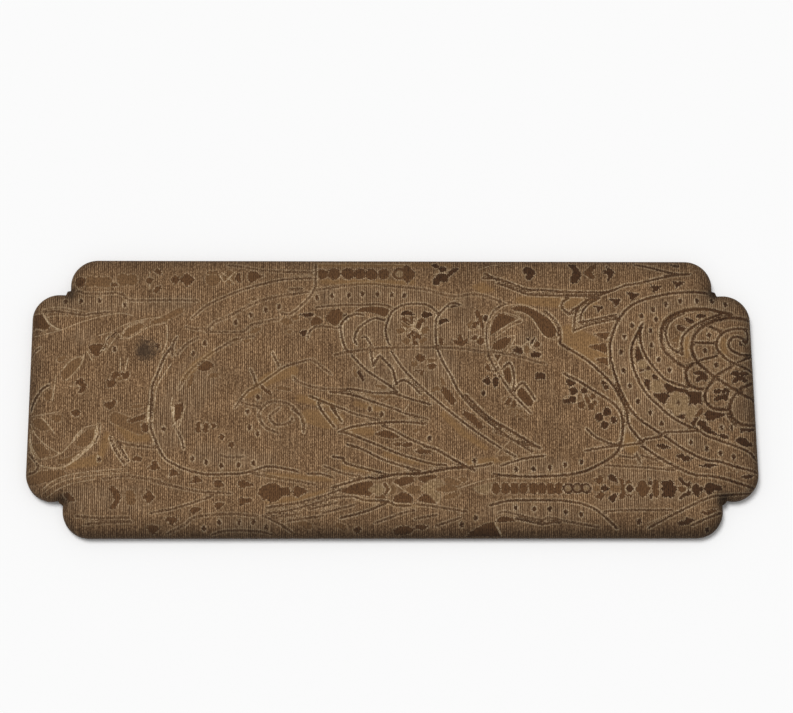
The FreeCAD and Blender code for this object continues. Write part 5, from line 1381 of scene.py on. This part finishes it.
# Studio: a pale floor under an even sky, with one soft lamp high behind the tray's left-hand side.
# The two together light a flat surface to about its own colour.
FLOOR_HALF = 2.5
floor_mesh = bpy.data.meshes.new("floor")
floor_corners = [(FLOOR_HALF * x, FLOOR_HALF * y, 0) for x, y in ((-1, -1), (1, -1), (1, 1), (-1, 1))]
floor_mesh.from_pydata(floor_corners, [], [(0, 1, 2, 3)])
paper = bpy.data.materials.new("studio_paper")
paper.use_nodes = True
paper_shader = paper.node_tree.nodes["Principled BSDF"]
paper_shader.inputs["Base Color"].default_value = linear("#fbfbfb")
paper_shader.inputs["Roughness"].default_value = 1.0
paper_shader.inputs["Specular IOR Level"].default_value = 0.0
floor_mesh.materials.append(paper)
floor = bpy.data.objects.new("floor", floor_mesh)
bpy.context.scene.collection.objects.link(floor)

SKY = 0.42
world = bpy.data.worlds.new("studio")
world.use_nodes = True
background = world.node_tree.nodes["Background"]
background.inputs["Color"].default_value = (1, 1, 1, 1)
background.inputs["Strength"].default_value = SKY
bpy.context.scene.world = world
LAMP_FROM = Vector((-0.3, 0.34, 1)).normalized()
lamp_light = bpy.data.lights.new("lamp", "SUN")
lamp_light.angle = 0.5
lamp_light.energy = np.pi * (1 - SKY) / LAMP_FROM.z
lamp = bpy.data.objects.new("lamp", lamp_light)
lamp.rotation_euler = LAMP_FROM.to_track_quat("Z", "Y").to_euler()
bpy.context.scene.collection.objects.link(lamp)

# The camera stands over the front edge. In a frame turned by its yaw it looks down at the tilt on a point
# at the distance, and its picture is rolled; the focal length is in pixels of the photograph's width.
PHOTO_WIDTH = 793
FOCAL_PIXELS = 2485.3
TILT = 1.2354
DISTANCE = 1211.0
AIM = (0.21, 22.07)
YAW = 0.07837
PICTURE_ROLL = 0.07533
turned_frame = Matrix.Rotation(-YAW, 3, "Z")
right = Vector((1, 0, 0))
up = Vector((0, np.sin(TILT), np.cos(TILT)))
backward = Vector((0, -np.cos(TILT), np.sin(TILT)))
rolled_right = right * np.cos(PICTURE_ROLL) + up * np.sin(PICTURE_ROLL)
rolled_up = up * np.cos(PICTURE_ROLL) - right * np.sin(PICTURE_ROLL)
eye = turned_frame @ (Vector((*AIM, 0)) + backward * DISTANCE) * MM
axes = Matrix([turned_frame @ axis for axis in (rolled_right, rolled_up, backward)]).transposed()
lens = bpy.data.cameras.new("camera")
lens.sensor_width = 36
lens.lens = FOCAL_PIXELS / PHOTO_WIDTH * lens.sensor_width
camera = bpy.data.objects.new("camera", lens)
camera.matrix_world = Matrix.Translation(eye) @ axes.to_4x4()
bpy.context.scene.collection.objects.link(camera)
bpy.context.scene.camera = camera
bpy.context.scene.view_settings.view_transform = "Standard"
